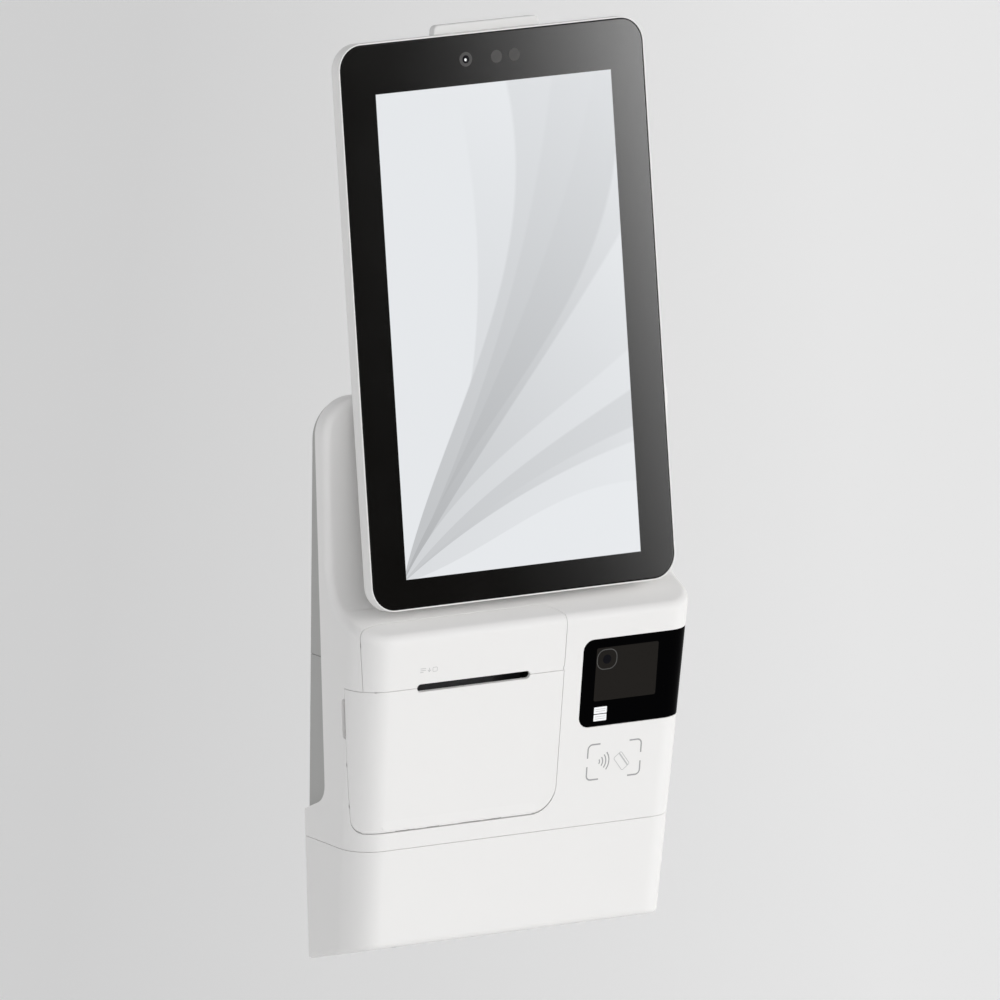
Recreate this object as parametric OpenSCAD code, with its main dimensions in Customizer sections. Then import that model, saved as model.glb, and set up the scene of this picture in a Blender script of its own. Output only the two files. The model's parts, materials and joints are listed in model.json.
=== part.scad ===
// Wall-hung self checkout kiosk: a portrait touch display on a tilting neck, above a tapering
// cabinet with a receipt printer behind a drop-down door, a code scanner window and a card reader.
// Frame: +X to the user's right, -Y out towards the user, +Z up. The origin is the centre of the
// wall bolt pattern, on the wall plane. "Depth" always means distance out from the wall.

/* [Cabinet] */
// Width across the sides at the bottom edge
cabinet_w_bottom = 260.6; // [250:0.2:270]
// Width across the sides at the top of the column
cabinet_w_top = 288.2; // [284:0.2:292]
// Height of the bottom edge at the wall, below the bolt pattern
cabinet_bottom = -277.4; // [-281:0.2:-274]
// Height of the column's top edge
column_top = 136; // [133:0.5:138]
// Depth of the cabinet's front plane at the bottom
depth_bottom = 62; // [60:0.5:64]
// Depth of the cabinet's front plane at the shelf edge
depth_shelf = 92.2; // [90:0.2:94]
// Depth of the column's front
column_depth = 43; // [42:0.5:44]
// Depth at which the shell ends and the rear housing shows
shell_back = 30; // [28:0.5:31]
// Radius of the two vertical front corners
corner_r = 23; // [18:0.5:26]
// Radius of the hollow blend between the column and the shelf
blend_r = 35; // [32:0.5:38]
// Moulded wall thickness
wall = 2.5; // [2.2:0.1:2.8]
// Gap left at every seam between covers
seam = 0.4; // [0.3:0.05:0.6]

/* [Rear housing] */
// Width of the rear housing
rear_w = 259; // [256:0.5:261]
// Height of the seam between the rear housing and the rear cover
rear_seam = -55; // [-58:0.5:-52]
// Spacing of the four wall screws, both ways
bolt_spacing = 100; // [90:5:110]
// Diameter of the wall screw holes
bolt_hole_d = 6.6; // [6:0.1:7]

/* [Display] */
// Tilt of the display from upright
display_tilt = 7.34; // [6.5:0.1:8]
// Height of the screen's centre above the bolt pattern
display_z = 180; // [178:0.5:182]
// Depth of the glass at the screen's centre
display_depth = 57.45; // [57:0.05:58.5]
// Width of the cover glass
glass_w = 249.2; // [247:0.2:251]
// Height of the cover glass
glass_h = 400.7; // [398:0.2:402]
// Corner radius of the cover glass
glass_r = 18; // [14:0.5:22]
// Thickness of the display from the glass to the back
display_t = 14; // [13.6:0.1:14.4]
// Width of the lit area, for a 15.6 inch panel set upright
screen_w = 193.6; // [190:0.2:196]
// Height of the lit area
screen_h = 344.2; // [340:0.2:348]

/* [Printer] */
// Height of the paper slot
slot_z = -68.1; // [-69:0.1:-67]
// Width of the paper slot
slot_w = 92.7; // [88:0.1:94]
// Opening height of the paper slot
slot_h = 5.2; // [4.8:0.1:5.6]
// Sideways centre of the paper slot
slot_x = -46.05; // [-47:0.05:-45]
// Right edge of the printer door and hood
door_right = 28.7; // [27:0.1:30]
// Bottom edge of the printer door
door_bottom = -173.8; // [-175:0.1:-172]
// Outer diameter of the receipt paper roll
roll_d = 50; // [40:1:50]
// Width of the receipt paper
paper_w = 80; // [79:0.5:80]

/* [Scanner] */
// Left edge of the scanner window
window_x = 44; // [42:0.2:46]
// Top edge of the scanner window
window_top = -48.3; // [-50:0.1:-46]
// Bottom edge of the scanner window
window_bottom = -113.5; // [-115:0.1:-112]

/* [Lower cover] */
// Height of the seam above the lower cover
lower_seam = -187; // [-189:0.2:-185]

/* [Hidden] */

eps = 0.01;
far = 400;                       // longer than any piece, for cutting shapes
slope_deg = 23.2;                // fall of the shelf towards the user
bottom_deg = 15.2;               // rise of the underside towards the user
edge_r = 5;                      // rounding of the shelf's front edge
column_r = 28;                   // top corners of the column, seen from the front
notch_r = 16;                    // round end of the cut-out beside the rear cover
notch_z = -160;                  // height of that round end's lowest point
notch_slope = 23;                // fall of the cut-out's floor towards the wall
rear_top = column_top - 8;       // top of the rear housing, below the column's
rear_r = 28;                     // its upper corners
rear_taper = 0.0075;             // its sides close in by this much per mm of height
hood_depth = 75;                 // depth of the hood's back seam on the shelf
door_side_depth = 62;            // depth of the door's rear edge on the left side
door_side_r = 9;                 // its lower corner, seen from the side
door_r = 20;                     // lower right corner of the door, seen from the front
door_lift = 0.8;                 // extra gap under the door, so that it swings clear
half_taper = (cabinet_w_top - cabinet_w_bottom) / 2 / (column_top - cabinet_bottom);
shelf_edge_z = -32;
front_slope = (depth_shelf - depth_bottom) / (shelf_edge_z - cabinet_bottom);
front_deg = atan(front_slope);   // lean of the front plane
shelf_z0 = -7.6;                 // where the shelf's plane would meet the column's front

// Half width and front depth of the cabinet at height z
function half_w(z) = cabinet_w_bottom / 2 + half_taper * (z - cabinet_bottom);
function front_d(z) = depth_bottom + front_slope * (z - cabinet_bottom);
// Points of an arc about [cx, cy], from angle a to angle b
function arc(cx, cy, r, a, b, n = 10) =
    [for (i = [0:n]) [cx + r * cos(a + (b - a) * i / n), cy + r * sin(a + (b - a) * i / n)]];

// A box given by its limits across, out from the wall and up
module block(x0, x1, d0, d1, z0, z1)
    translate([x0, -d1, z0]) cube([x1 - x0, d1 - d0, z1 - z0]);

// A side outline of [depth, height] points, run across from x0 to x1
module side_prism(x0, x1, pts)
    translate([x1, 0, 0]) rotate([90, 0, -90]) linear_extrude(x1 - x0) polygon(pts);

// Children drawn in front view, run out from depth d0 to depth d1
module front_prism(d0, d1)
    translate([0, -d0, 0]) rotate([90, 0, 0]) linear_extrude(d1 - d0) children();

// A cylinder along X, centred on a depth and a height
module x_rod(x0, x1, d, z, r)
    translate([x0, -d, z]) rotate([0, 90, 0]) cylinder(r = r, h = x1 - x0, $fn = 48);

// A cylinder pointing out from the wall
module out_rod(x, z, d0, d1, r)
    translate([x, -d0, z]) rotate([90, 0, 0]) cylinder(r = r, h = d1 - d0, $fn = 48);

// A rectangle with round corners, in 2D
module round_rect(w, h, r, cx = 0, cy = 0)
    translate([cx, cy]) {
        square([w - 2 * r, h], center = true);
        square([w, h - 2 * r], center = true);
        for (sx = [-1, 1], sy = [-1, 1])
            translate([sx * (w / 2 - r), sy * (h / 2 - r)]) circle(r, $fn = 48);
    }

// Children drawn on the leaning front plane: x across, y up it, z out of it
module on_front(z) translate([0, -front_d(z), z]) rotate([90 + front_deg, 0, 0]) children();

// Children drawn on the glass: x across, y up the screen, z out of it
module on_display() translate([0, -display_depth, display_z])
    rotate([90 - display_tilt, 0, 0]) children();

// ---- Cabinet form ----

// Underside, shelf, hollow blend and column in side view, moved in by t
function shelf_z(d, t) = shelf_z0 - (d - column_depth) * tan(slope_deg) - t / cos(slope_deg);
function under_z(d, t) = cabinet_bottom + d * tan(bottom_deg) + t / cos(bottom_deg);
blend_run = blend_r / tan((90 + slope_deg) / 2);
blend_z = shelf_z0 + blend_run;
function edge_center(t) = let (
    r = edge_r - t,
    d0 = front_d(shelf_edge_z) - t,
    d = d0 - r * (1 + 0.06)
) [d, shelf_z(d, t) - r / cos(slope_deg)];
function cabinet_profile(t) = concat(
    [[-t, under_z(-t, t)], [far, under_z(far, t)], [far, edge_center(t)[1]]],
    arc(edge_center(t)[0], edge_center(t)[1], edge_r - t, 0, 90 - slope_deg, 6),
    arc(column_depth + blend_r, blend_z, blend_r + t, 270 - slope_deg, 180, 12),
    [[column_depth - t, column_top - t], [-t, column_top - t]]);

// Tapering block with round front corners, moved in by t
module tapered_block(t) {
    z0 = cabinet_bottom - 5;
    z1 = column_top + 5;
    hull() for (z = [z0, z1]) {
        for (s = [-1, 1])
            translate([s * (half_w(z) - corner_r), -front_d(z) + corner_r, z])
                cylinder(r = corner_r - t, h = eps, $fn = 72);
        translate([t - half_w(z), -5, z]) cube([2 * (half_w(z) - t), 5 + t, eps]);
    }
}

// The cabinet as one solid, moved in by t
module cabinet_form(t) intersection() {
    tapered_block(t);
    side_prism(-far / 2, far / 2, cabinet_profile(t));
    front_prism(-5, far) {
        round_rect(2 * (half_w(column_top) - t), 4 * column_r, column_r - t, 0,
            column_top - t - 2 * column_r);
        translate([-far / 2, -far]) square([far, far + column_top - column_r]);
    }
}

// Floor and round end of the cut-out in the cabinet's back, for a round end of radius r
function notch_line(r) = let (
    end = arc(shell_back - notch_r, notch_z + notch_r, r, 270 + notch_slope, 360, 8)
) concat([[-10, end[0][1] - (end[0][0] + 10) * tan(notch_slope)]], end);
// That cut-out, which the rear housing fills, grown by t
module rear_notch(t)
    side_prism(-far / 2, far / 2, concat([[-10, column_top + 10]], notch_line(notch_r + t),
        [[shell_back + t, column_top + 10]]));

// Outline of the rear housing seen from the front, moved in by t, between two heights
function rear_half(z) = rear_w / 2 - rear_taper * (z - notch_z);
module rear_outline(t, z0, z1) {
    lean = atan(rear_taper);
    cx = rear_half(rear_top - rear_r) - rear_r;
    cz = rear_top - rear_r;
    foot = rear_half(-far) - t;
    intersection() {
        polygon(concat([[-foot, -far], [foot, -far]], arc(cx, cz, rear_r - t, lean, 90, 18),
            arc(-cx, cz, rear_r - t, 90, 180 - lean, 18)));
        translate([-far / 2, z0]) square([far, z1 - z0]);
    }
}

// The cabinet's skin, open at the wall and inside the rear housing
module cabinet_skin() difference() {
    cabinet_form(0);
    rear_notch(0);
    difference() {
        cabinet_form(wall);
        rear_notch(wall);
    }
    front_prism(-5, shell_back + 5) rear_outline(6, -150, column_top);
}

// ---- Where the separate covers lie ----

// Outline of the hood from the front and in plan, shrunk by g; its back seam is rounded
hood_left = [-112, 50];          // start and radius of the left rounding
hood_right_r = 18;
module hood_zone(g) intersection() {
    front_prism(40, far)
        translate([-far / 2, slot_z + g]) square([far / 2 + door_right - g, far]);
    translate([0, 0, -100]) linear_extrude(200) difference() {
        translate([-far / 2, -far]) square([far, far - hood_depth - g]);
        translate([hood_left[0], -(hood_depth + hood_left[1])]) difference() {
            translate([-100, -1]) square([100, 60]);
            circle(hood_left[1] - g, $fn = 96);
        }
        translate([door_right - hood_right_r, -(hood_depth + hood_right_r)]) difference() {
            square([40, 40]);
            circle(hood_right_r - g, $fn = 96);
        }
    }
}

// Outline of the door seen from the left side and from the front, shrunk by g
module door_zone(g, lift = 0) intersection() {
    side_prism(-far / 2, far / 2, concat(
        [[far, slot_z - g], [door_side_depth + g, slot_z - g]],
        arc(door_side_depth + door_side_r, door_bottom + lift + door_side_r,
            door_side_r - g, 180, 270, 8),
        [[far, door_bottom + lift + g]]));
    front_prism(door_side_depth - 5, far) translate([0, lift]) {
        translate([door_right - door_r, door_bottom + door_r]) circle(door_r - g, $fn = 96);
        translate([-far / 2, door_bottom]) square([far / 2 + door_right - door_r, 150]);
        translate([door_right - 2 * door_r, door_bottom + door_r])
            square([2 * door_r - g, 150]);
    }
    block(-far / 2, door_right + 5, door_side_depth, far, door_bottom - 5, slot_z);
}

// Outline of the scanner window from the front, wrapped onto the right side
module window_zone(g) intersection() {
    front_prism(40, far)
        round_rect(200, window_top - window_bottom - 2 * g, 8, window_x + 100 + g,
            (window_top + window_bottom) / 2);
    side_prism(20, far / 2, [[58 + g, 0], [far, 0], [far, -200], [58 + g, -200]]);
}

// Stadium-shaped paper slot, cut straight through the covers
module slot_cut()
    front_prism(70, far) round_rect(slot_w, slot_h, slot_h / 2 - eps, slot_x, slot_z);

// Gap behind the door's rear edge for a fingertip
module finger_cut()
    side_prism(-far / 2, -115, [[door_side_depth - 4.6, -77], [door_side_depth + 1, -75],
        [door_side_depth + 1, -105], [door_side_depth - 4.6, -101]]);

// ---- Covers ----

module main_shell() color("whitesmoke") {
    difference() {
        intersection() {
            cabinet_skin();
            block(-far / 2, far / 2, -5, far, lower_seam + seam / 2, far);
        }
        hood_zone(0);
        door_zone(0);
        window_zone(0);
        finger_cut();
        // Window for the neck of the display hinge
        front_prism(shell_back, far) round_rect(80, 40, 6, 0, neck_z + 2);
    }
    // Screw posts for the lower cover
    for (s = [-1, 1])
        difference() {
            block(s * 100 - 6, s * 100 + 6, 8, 20, lower_seam + seam / 2, notch_z);
            rear_notch(wall / 2);
            translate([s * 100, -14, lower_seam]) cylinder(r = 1.6, h = 16, $fn = 32);
        }
}

module printer_hood() color("whitesmoke") difference() {
    intersection() {
        cabinet_skin();
        hood_zone(seam);
    }
    slot_cut();
}

pivot_drop = 12;                            // hinge axis below the door's lower seam
pivot_in = 5.6;                             // hinge axis behind the front plane
pivot_z = door_bottom - pivot_drop;
pivot_d = front_d(pivot_z) - pivot_in / cos(front_deg);
hub_r = 2.6;
pin_r = 1.5;
lug_x = [-84, -8];                          // fixed lugs of the door hinge
lug_w = 8;
neck_r = [14.3, 16.8];                      // the goose necks pass round the shell's edge
neck_w = 4.5;
neck_x = [lug_x[0] + lug_w / 2 + 0.5, lug_x[1] - lug_w / 2 - 0.5 - neck_w];

module goose_neck(x) {
    intersection() {
        side_prism(x, x + neck_w, concat(
            arc(pivot_d, pivot_z, neck_r[1], 64, 178, 14),
            [[pivot_d, pivot_z - 1.8], [pivot_d, pivot_z + 1.8]],
            arc(pivot_d, pivot_z, neck_r[0], 165, 69, 12)));
        cabinet_form(1);
    }
    x_rod(x, x + neck_w, pivot_d, pivot_z, hub_r);
}

module printer_door() color("whitesmoke") difference() {
    union() {
        intersection() {
            cabinet_skin();
            door_zone(seam, door_lift);
        }
        for (x = neck_x) goose_neck(x);
    }
    slot_cut();
    x_rod(lug_x[0], lug_x[1], pivot_d, pivot_z, pin_r + 0.05);
}

module lower_cover() color("whitesmoke") difference() {
    union() {
        intersection() {
            cabinet_skin();
            block(-far / 2, far / 2, -5, far, cabinet_bottom - 5, lower_seam - seam / 2);
        }
        // Ears for the two screws, on the inside of the side walls
        intersection() {
            cabinet_form(wall / 2);
            for (s = [-1, 1])
                block(s * 115 - 22, s * 115 + 22, 7, 21, lower_seam - 4, lower_seam - seam / 2);
        }
    }
    for (s = [-1, 1])
        translate([s * 100, -14, lower_seam - 10]) cylinder(r = 1.8, h = 20, $fn = 32);
    // Sound holes under the loudspeaker
    for (i = [-4:4], row = [-1, 1])
        translate([speaker_x + 5 * i, row * 8 - speaker_d, cabinet_bottom])
            linear_extrude(30) round_rect(2, 12, 0.95);
    translate([button_x, -button_d, cabinet_bottom]) cylinder(r = 5.2, h = 30, $fn = 48);
}

rear_back_d = 10;                // back panel of the rear housing, clear of the screw heads
hook_x = 62;
hook_z = [-40, 28];

// Window that lets leads straight out of the wall into the cabinet
module lead_window(d0, d1) front_prism(d0, d1) round_rect(52, 36, 6);

module hook_slots(grow) for (s = [-1, 1], z = hook_z)
    block(s * hook_x - 5 - grow, s * hook_x + 5 + grow, rear_back_d - 1, 20, z - 7, z + 13);

module rear_housing() color("gainsboro") difference() {
    union() {
        difference() {
            front_prism(0.5, shell_back) rear_outline(0, rear_seam + seam / 2, column_top);
            front_prism(-1, far) rear_outline(wall, rear_seam - 10, column_top);
        }
        front_prism(rear_back_d, rear_back_d + 2)
            rear_outline(wall, rear_seam + seam / 2, column_top);
    }
    hook_slots(1);
    lead_window(5, 15);
    // Warm-air slots in the top
    for (i = [-7:7])
        if (abs(i) > 0)
            translate([i * 13, -20, rear_top - 10]) linear_extrude(20) round_rect(8, 2.4, 1.1);
    // Screw holes to the chassis
    for (p = chassis_screw_xz) if (p[1] > rear_seam) out_rod(p[0], p[1], 5, 20, 1.7);
}

// Everything above a floor line of radius r in the cut-out
module above_floor(r) side_prism(-far / 2, far / 2, concat([[-10, 0]], notch_line(r),
    [[far, notch_z + notch_r], [far, 0]]));

module rear_cover() color("gainsboro") difference() {
    intersection() {
        union() {
            difference() {
                front_prism(0.5, shell_back) rear_outline(0, -200, rear_seam - seam / 2);
                intersection() {
                    front_prism(-1, far) rear_outline(wall, -210, 0);
                    above_floor(notch_r - wall);
                }
                // Open front, clear of the paper bucket
                front_prism(20, far) rear_outline(wall, notch_z + wall + 1, 0);
            }
            front_prism(rear_back_d, rear_back_d + 2)
                rear_outline(wall, -200, rear_seam - seam / 2);
        }
        above_floor(notch_r - 0.3);
    }
    for (p = chassis_screw_xz) if (p[1] < rear_seam) out_rod(p[0], p[1], 5, 20, 1.7);
}

// ---- Wall bracket and chassis ----

bracket_t = 2.5;
module wall_bracket() color("dimgray") difference() {
    union() {
        front_prism(0, bracket_t) round_rect(176, 164, 8);
        // Stiffening flanges at the sides
        for (s = [-1, 1]) block(s * 84.5 - 1.25, s * 84.5 + 1.25, bracket_t, 8, -70, 70);
        // Hooks that the rear housing drops onto
        for (s = [-1, 1], z = hook_z) {
            block(s * hook_x - 4, s * hook_x + 4, bracket_t, rear_back_d + 6.2, z, z + 3);
            block(s * hook_x - 4, s * hook_x + 4, rear_back_d + 4.2, rear_back_d + 6.2, z, z + 11);
        }
    }
    for (sx = [-1, 1], sz = [-1, 1])
        out_rod(sx * bolt_spacing / 2, sz * bolt_spacing / 2, -5, 10, bolt_hole_d / 2);
    lead_window(-5, 5);
}

chassis_d = rear_back_d + 2;     // chassis lies on the housing's back panel
chassis_t = 1.5;
chassis_screw_xz = [[-108, 112], [108, 112], [-108, 0], [108, 0], [-108, -62], [108, -62],
    [-108, -146], [108, -146]];
module chassis_plate() color("silver") difference() {
    union() {
        front_prism(chassis_d, chassis_d + chassis_t) intersection() {
            round_rect(238, 276, 6, 0, -14);
            rear_outline(wall + 2, -160, column_top);
        }
        // Bent rims that stiffen the plate
        for (s = [-1, 1])
            block(s * 118 - 0.75, s * 118 + 0.75, chassis_d, chassis_d + 9, -146, 100);
    }
    for (s = [-1, 1], z = hook_z)
        block(s * hook_x - 6, s * hook_x + 6, 5, 20, z - 7, z + 13);
    for (p = chassis_screw_xz) out_rod(p[0], p[1], 5, 20, 1.7);
    lead_window(5, 20);
    // Lead window above the port board
    front_prism(5, 20) round_rect(70, 40, 6, 60, -120);
}

module chassis_screws() color("lightgray") for (p = chassis_screw_xz) {
    out_rod(p[0], p[1], rear_back_d - 3, chassis_d + chassis_t, 1.6);
    out_rod(p[0], p[1], rear_back_d - 2, rear_back_d, 3);
}

// ---- Scanner and card reader ----

module scanner_window() color("black") intersection() {
    cabinet_skin();
    window_zone(seam / 2);
}

scan_z = -80;                    // height of the scanner's middle on the front
module scanner_carrier() color("darkslategray") on_front(scan_z) difference() {
    translate([81, 0, -wall - 11]) linear_extrude(11 - 0.3) round_rect(62, 58, 3);
    translate([81, 0, -wall - 9]) linear_extrude(12) round_rect(58, 54, 2);
}

module scanner_display() color("dimgray") on_front(scan_z)
    translate([55, -14.6, -wall - 3.2]) cube([51.2, 39.6, 3]);

module scanner_camera() color("dimgray") on_front(scan_z) {
    translate([55, 7, -wall - 8.6]) cube([17, 17, 5.2]);
    translate([63.5, 15.5, -wall - 8.9]) cylinder(r = 3, h = 0.4, $fn = 40);
}

// Lamps that light the code, under the display inside the window
module scanner_lamps() color("white") on_front(scan_z) for (y = [-25, -19.6])
    translate([56, y, -wall - 3]) cube([10.6, 4.6, 2.7]);

module nfc_reader() color("seagreen") on_front(-140) {
    translate([52, -17, -wall - 2]) cube([48, 34, 1.6]);
    translate([60, -8, -wall - 5]) cube([14, 14, 3 + eps]);
    for (r = [0:2])
        translate([76, 0, -wall - 2.3]) linear_extrude(0.4) difference() {
            round_rect(46 - 4 * r, 32 - 4 * r, 3);
            round_rect(44.6 - 4 * r, 30.6 - 4 * r, 2.3);
        }
}

// ---- Electronics ----

board_d = 20;                    // depth of the circuit boards' back
module mainboard() color("seagreen") {
    block(-112, -48, board_d, board_d + 1.6, -42, 104);
    block(-100, -86, board_d + 1.6, board_d + 3, -36, -22);
    block(-78, -56, board_d + 1.6, board_d + 5, -36, -16);
    block(-108, -96, board_d + 1.6, board_d + 3.6, 74, 98);
    for (i = [0:4]) block(-106 + 11 * i, -99 + 11 * i, board_d + 1.6, board_d + 3, 0, 10);
}
module mainboard_heatsink() color("silver") {
    block(-96, -60, board_d + 1.6, board_d + 4, 22, 64);
    for (i = [0:8]) block(-96 + 4.25 * i, -94 + 4.25 * i, board_d + 4 - eps, board_d + 9, 22, 64);
}
module power_board() color("seagreen") {
    block(66, 112, board_d, board_d + 1.6, 20, 104);
    block(70, 90, board_d + 1.6, board_d + 9, 30, 50);
    block(72, 88, board_d + 1.6, board_d + 8, 60, 76);
    translate([100, -board_d - 1.6, 40]) rotate([90, 0, 0]) cylinder(r = 4, h = 8, $fn = 40);
    translate([100, -board_d - 1.6, 56]) rotate([90, 0, 0]) cylinder(r = 4, h = 8, $fn = 40);
    block(94, 108, board_d + 1.6, board_d + 7, 86, 98);
}
standoff_xz = [[-108, -38], [-52, -38], [-108, 70], [-52, 100], [70, 24], [108, 24], [70, 100],
    [108, 78]];
module board_standoffs() color("goldenrod") for (p = standoff_xz)
    out_rod(p[0], p[1], chassis_d + chassis_t, board_d, 2.5);

port_z = lower_seam + 4;         // underside of the port board's connectors
module port_board() color("seagreen") {
    block(-70, 70, 22, 23.6, port_z + 1, port_z + 19);
    for (s = [-1, 1]) block(s * 60 - 4, s * 60 + 4, wall, 22, port_z + 9, port_z + 11);
}
module dc_inlet() color("black") difference() {
    block(-52, -42, 23.6, 33.6, port_z - 1, port_z + 13);
    translate([-47, -28.6, port_z - 2]) cylinder(r = 3.1, h = 11, $fn = 40);
}
module ethernet_port() color("silver") difference() {
    block(-26, -10, 23.6, 37, port_z - 1, port_z + 15);
    block(-24.5, -11.5, 25, 35, port_z - 2, port_z + 11);
}
module usb_ports() color("silver") for (x = [4, 24]) difference() {
    block(x, x + 14.5, 23.6, 30.4, port_z - 1, port_z + 13);
    block(x + 0.6, x + 13.9, 24.3, 29.7, port_z - 2, port_z + 11);
}

speaker_x = 90;
speaker_d = 38;
module speaker() color("darkslategray") {
    block(speaker_x - 26, speaker_x + 26, speaker_d - 10, speaker_d + 10,
        under_z(speaker_d + 10, wall) + 2, under_z(speaker_d + 10, wall) + 24);
    translate([speaker_x, -speaker_d, under_z(speaker_d + 10, wall) + 1])
        cylinder(r = 9, h = 1 + eps, $fn = 48);
}
button_x = -80;
button_d = 30;
button_h = 7.2;
module power_button() color("silver")
    translate([button_x, -button_d, under_z(button_d, 0) + 1.0]) {
        cylinder(r = 5, h = button_h, $fn = 48);
        translate([0, 0, button_h - 2]) cylinder(r = 6.5, h = 2, $fn = 48);
    }

// ---- Receipt printer ----

roll_c = [46, -124.3];             // depth and height of the roll's axis
roll_x0 = slot_x - paper_w / 2;
roll_x1 = slot_x + paper_w / 2;
platen_x0 = slot_x - 41;
platen_x1 = slot_x + 41;
platen_c = [76, -86];
platen_r = 6;
gear_m = 0.6;
platen_teeth = 20;
idler_teeth = 30;
pinion_teeth = 12;
idler_c = [platen_c[0] - gear_m * (platen_teeth + idler_teeth) / 2, platen_c[1]];
pinion_c = [idler_c[0] - gear_m * (idler_teeth + pinion_teeth) / 2, platen_c[1]];
frame_x0 = platen_x0 - 10;       // left side plate of the print mechanism
frame_x1 = platen_x1 + 8;        // right side plate
gear_x0 = frame_x1 + 2.5;
gear_w = 4;

module paper_roll() color("white") difference() {
    x_rod(roll_x0, roll_x1, roll_c[0], roll_c[1], roll_d / 2);
    x_rod(roll_x0 - 1, roll_x1 + 1, roll_c[0], roll_c[1], 8);
}
module paper_core() color("burlywood") difference() {
    x_rod(roll_x0, roll_x1, roll_c[0], roll_c[1], 8);
    x_rod(roll_x0 - 1, roll_x1 + 1, roll_c[0], roll_c[1], 6.4);
}

// Open-fronted trough that the roll lies in, between two cheeks
bucket_gap = 0.5;
module paper_bucket() color("gray") difference() {
    union() {
        intersection() {
            x_rod(roll_x0 - 4, roll_x1 + 4, roll_c[0], roll_c[1], roll_d / 2 + bucket_gap + wall);
            block(roll_x0 - 4, roll_x1 + 4, shell_back + wall + 1, 62, -170, roll_c[1] - 12);
        }
        for (x = [roll_x0 - 4, roll_x1 + 1.5])
            block(x, x + 2.5, chassis_d + chassis_t, 62, -149, -104);
        // Hinge lugs for the door, on legs under the trough
        for (x = lug_x) {
            block(x - lug_w / 2, x + lug_w / 2, 50, 56, pivot_z - hub_r, -147);
            block(x - lug_w / 2, x + lug_w / 2, 50, pivot_d, pivot_z - hub_r, pivot_z + hub_r);
            x_rod(x - lug_w / 2, x + lug_w / 2, pivot_d, pivot_z, hub_r);
        }
    }
    x_rod(roll_x0 - 1.5, roll_x1 + 1.5, roll_c[0], roll_c[1], roll_d / 2 + bucket_gap);
    for (x = lug_x) x_rod(x - 10, x + 10, pivot_d, pivot_z, pin_r);
}
module door_hinge_pins() color("silver") for (i = [0, 1])
    x_rod(lug_x[i] - 5 - 5 * i, lug_x[i] + 10 - 5 * i, pivot_d, pivot_z, pin_r);

module printer_frame() color("silver") {
    for (x = [frame_x0, frame_x1]) difference() {
        side_prism(x, x + 1.5, [[chassis_d + chassis_t, -103.8], [60, -103.8], [69, -98],
            [69, -78], [chassis_d + chassis_t, -78]]);
        x_rod(x - 1, x + 3, idler_c[0], idler_c[1], 1.5);
        x_rod(x - 1, x + 3, latch_c[0], latch_c[1], 1.5);
        x_rod(x - 1, x + 3, pinion_c[0], pinion_c[1], 4.6);
    }
    // Cross member between the side plates, behind the head
    block(frame_x0 + 1.5, frame_x1, 50, 51.5, -98, -82);
    block(frame_x0 + 1.5, frame_x1, 34, 51.5, -79.5, -78);
}

module print_head() color("dimgray") {
    block(platen_x0 + 0.5, platen_x1 - 0.5, 66, 69.6, -97, -78.6);
    block(platen_x0 + 8, platen_x1 - 8, 69.6, 69.95, -90, -83);
}
module head_heatsink() color("silver") {
    block(platen_x0 + 2, platen_x1 - 2, 63.5, 66, -97, -79);
    for (i = [0:3]) block(platen_x0 + 6, platen_x1 - 6, 61, 63.5 + eps, -96 + 5 * i, -94 + 5 * i);
}
module head_springs() color("silver") for (x = [slot_x - 24, slot_x + 24])
    difference() {
        translate([x, -51.5, -89.5]) rotate([90, 0, 0]) cylinder(r = 3, h = 9.5, $fn = 40);
        translate([x, -51.4, -89.5]) rotate([90, 0, 0]) cylinder(r = 2.2, h = 9.7, $fn = 40);
    }

// Involute spur gear in 2D, one tooth on the +x side; the flank is thinned for running play
function inv_pt(rb, a) = [rb * (cos(a) + a * PI / 180 * sin(a)), rb * (sin(a) - a * PI / 180 * cos(a))];
function inv_angle(rb, r) = sqrt(max(0, pow(r / rb, 2) - 1)) * 180 / PI;
function polar(r, a) = [r * cos(a), r * sin(a)];
function flank(rb, r0, r1, off, n = 4) = [for (i = [0:n])
    let (r = r0 + (r1 - r0) * i / n, t = inv_angle(rb, r), p = inv_pt(rb, t), a = atan2(p[1], p[0]))
    [norm(p), a - off]];
function gear_points(m, z) = let (
    rp = m * z / 2, rb = rp * cos(20), ra = rp + 0.9 * m, rf = rp - 1.2 * m,
    rs = max(rb, rf), play = 0.09,
    pitch_inv = inv_angle(rb, rp) - 20,
    half = 90 / z + pitch_inv - play / rp * 180 / PI,
    f = flank(rb, rs, ra, half)
) [for (k = [0:z - 1]) let (c = k * 360 / z) each concat(
    [polar(rf, c + f[0][1])], [for (q = f) polar(q[0], c + q[1])],
    [for (i = [4:-1:0]) polar(f[i][0], c - f[i][1])], [polar(rf, c - f[0][1])])];
module spur_gear(x0, w, c, m, z, turn)
    translate([x0, -c[0], c[1]]) rotate([90, 0, 90]) rotate([0, 0, turn])
        linear_extrude(w) polygon(gear_points(m, z));

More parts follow.
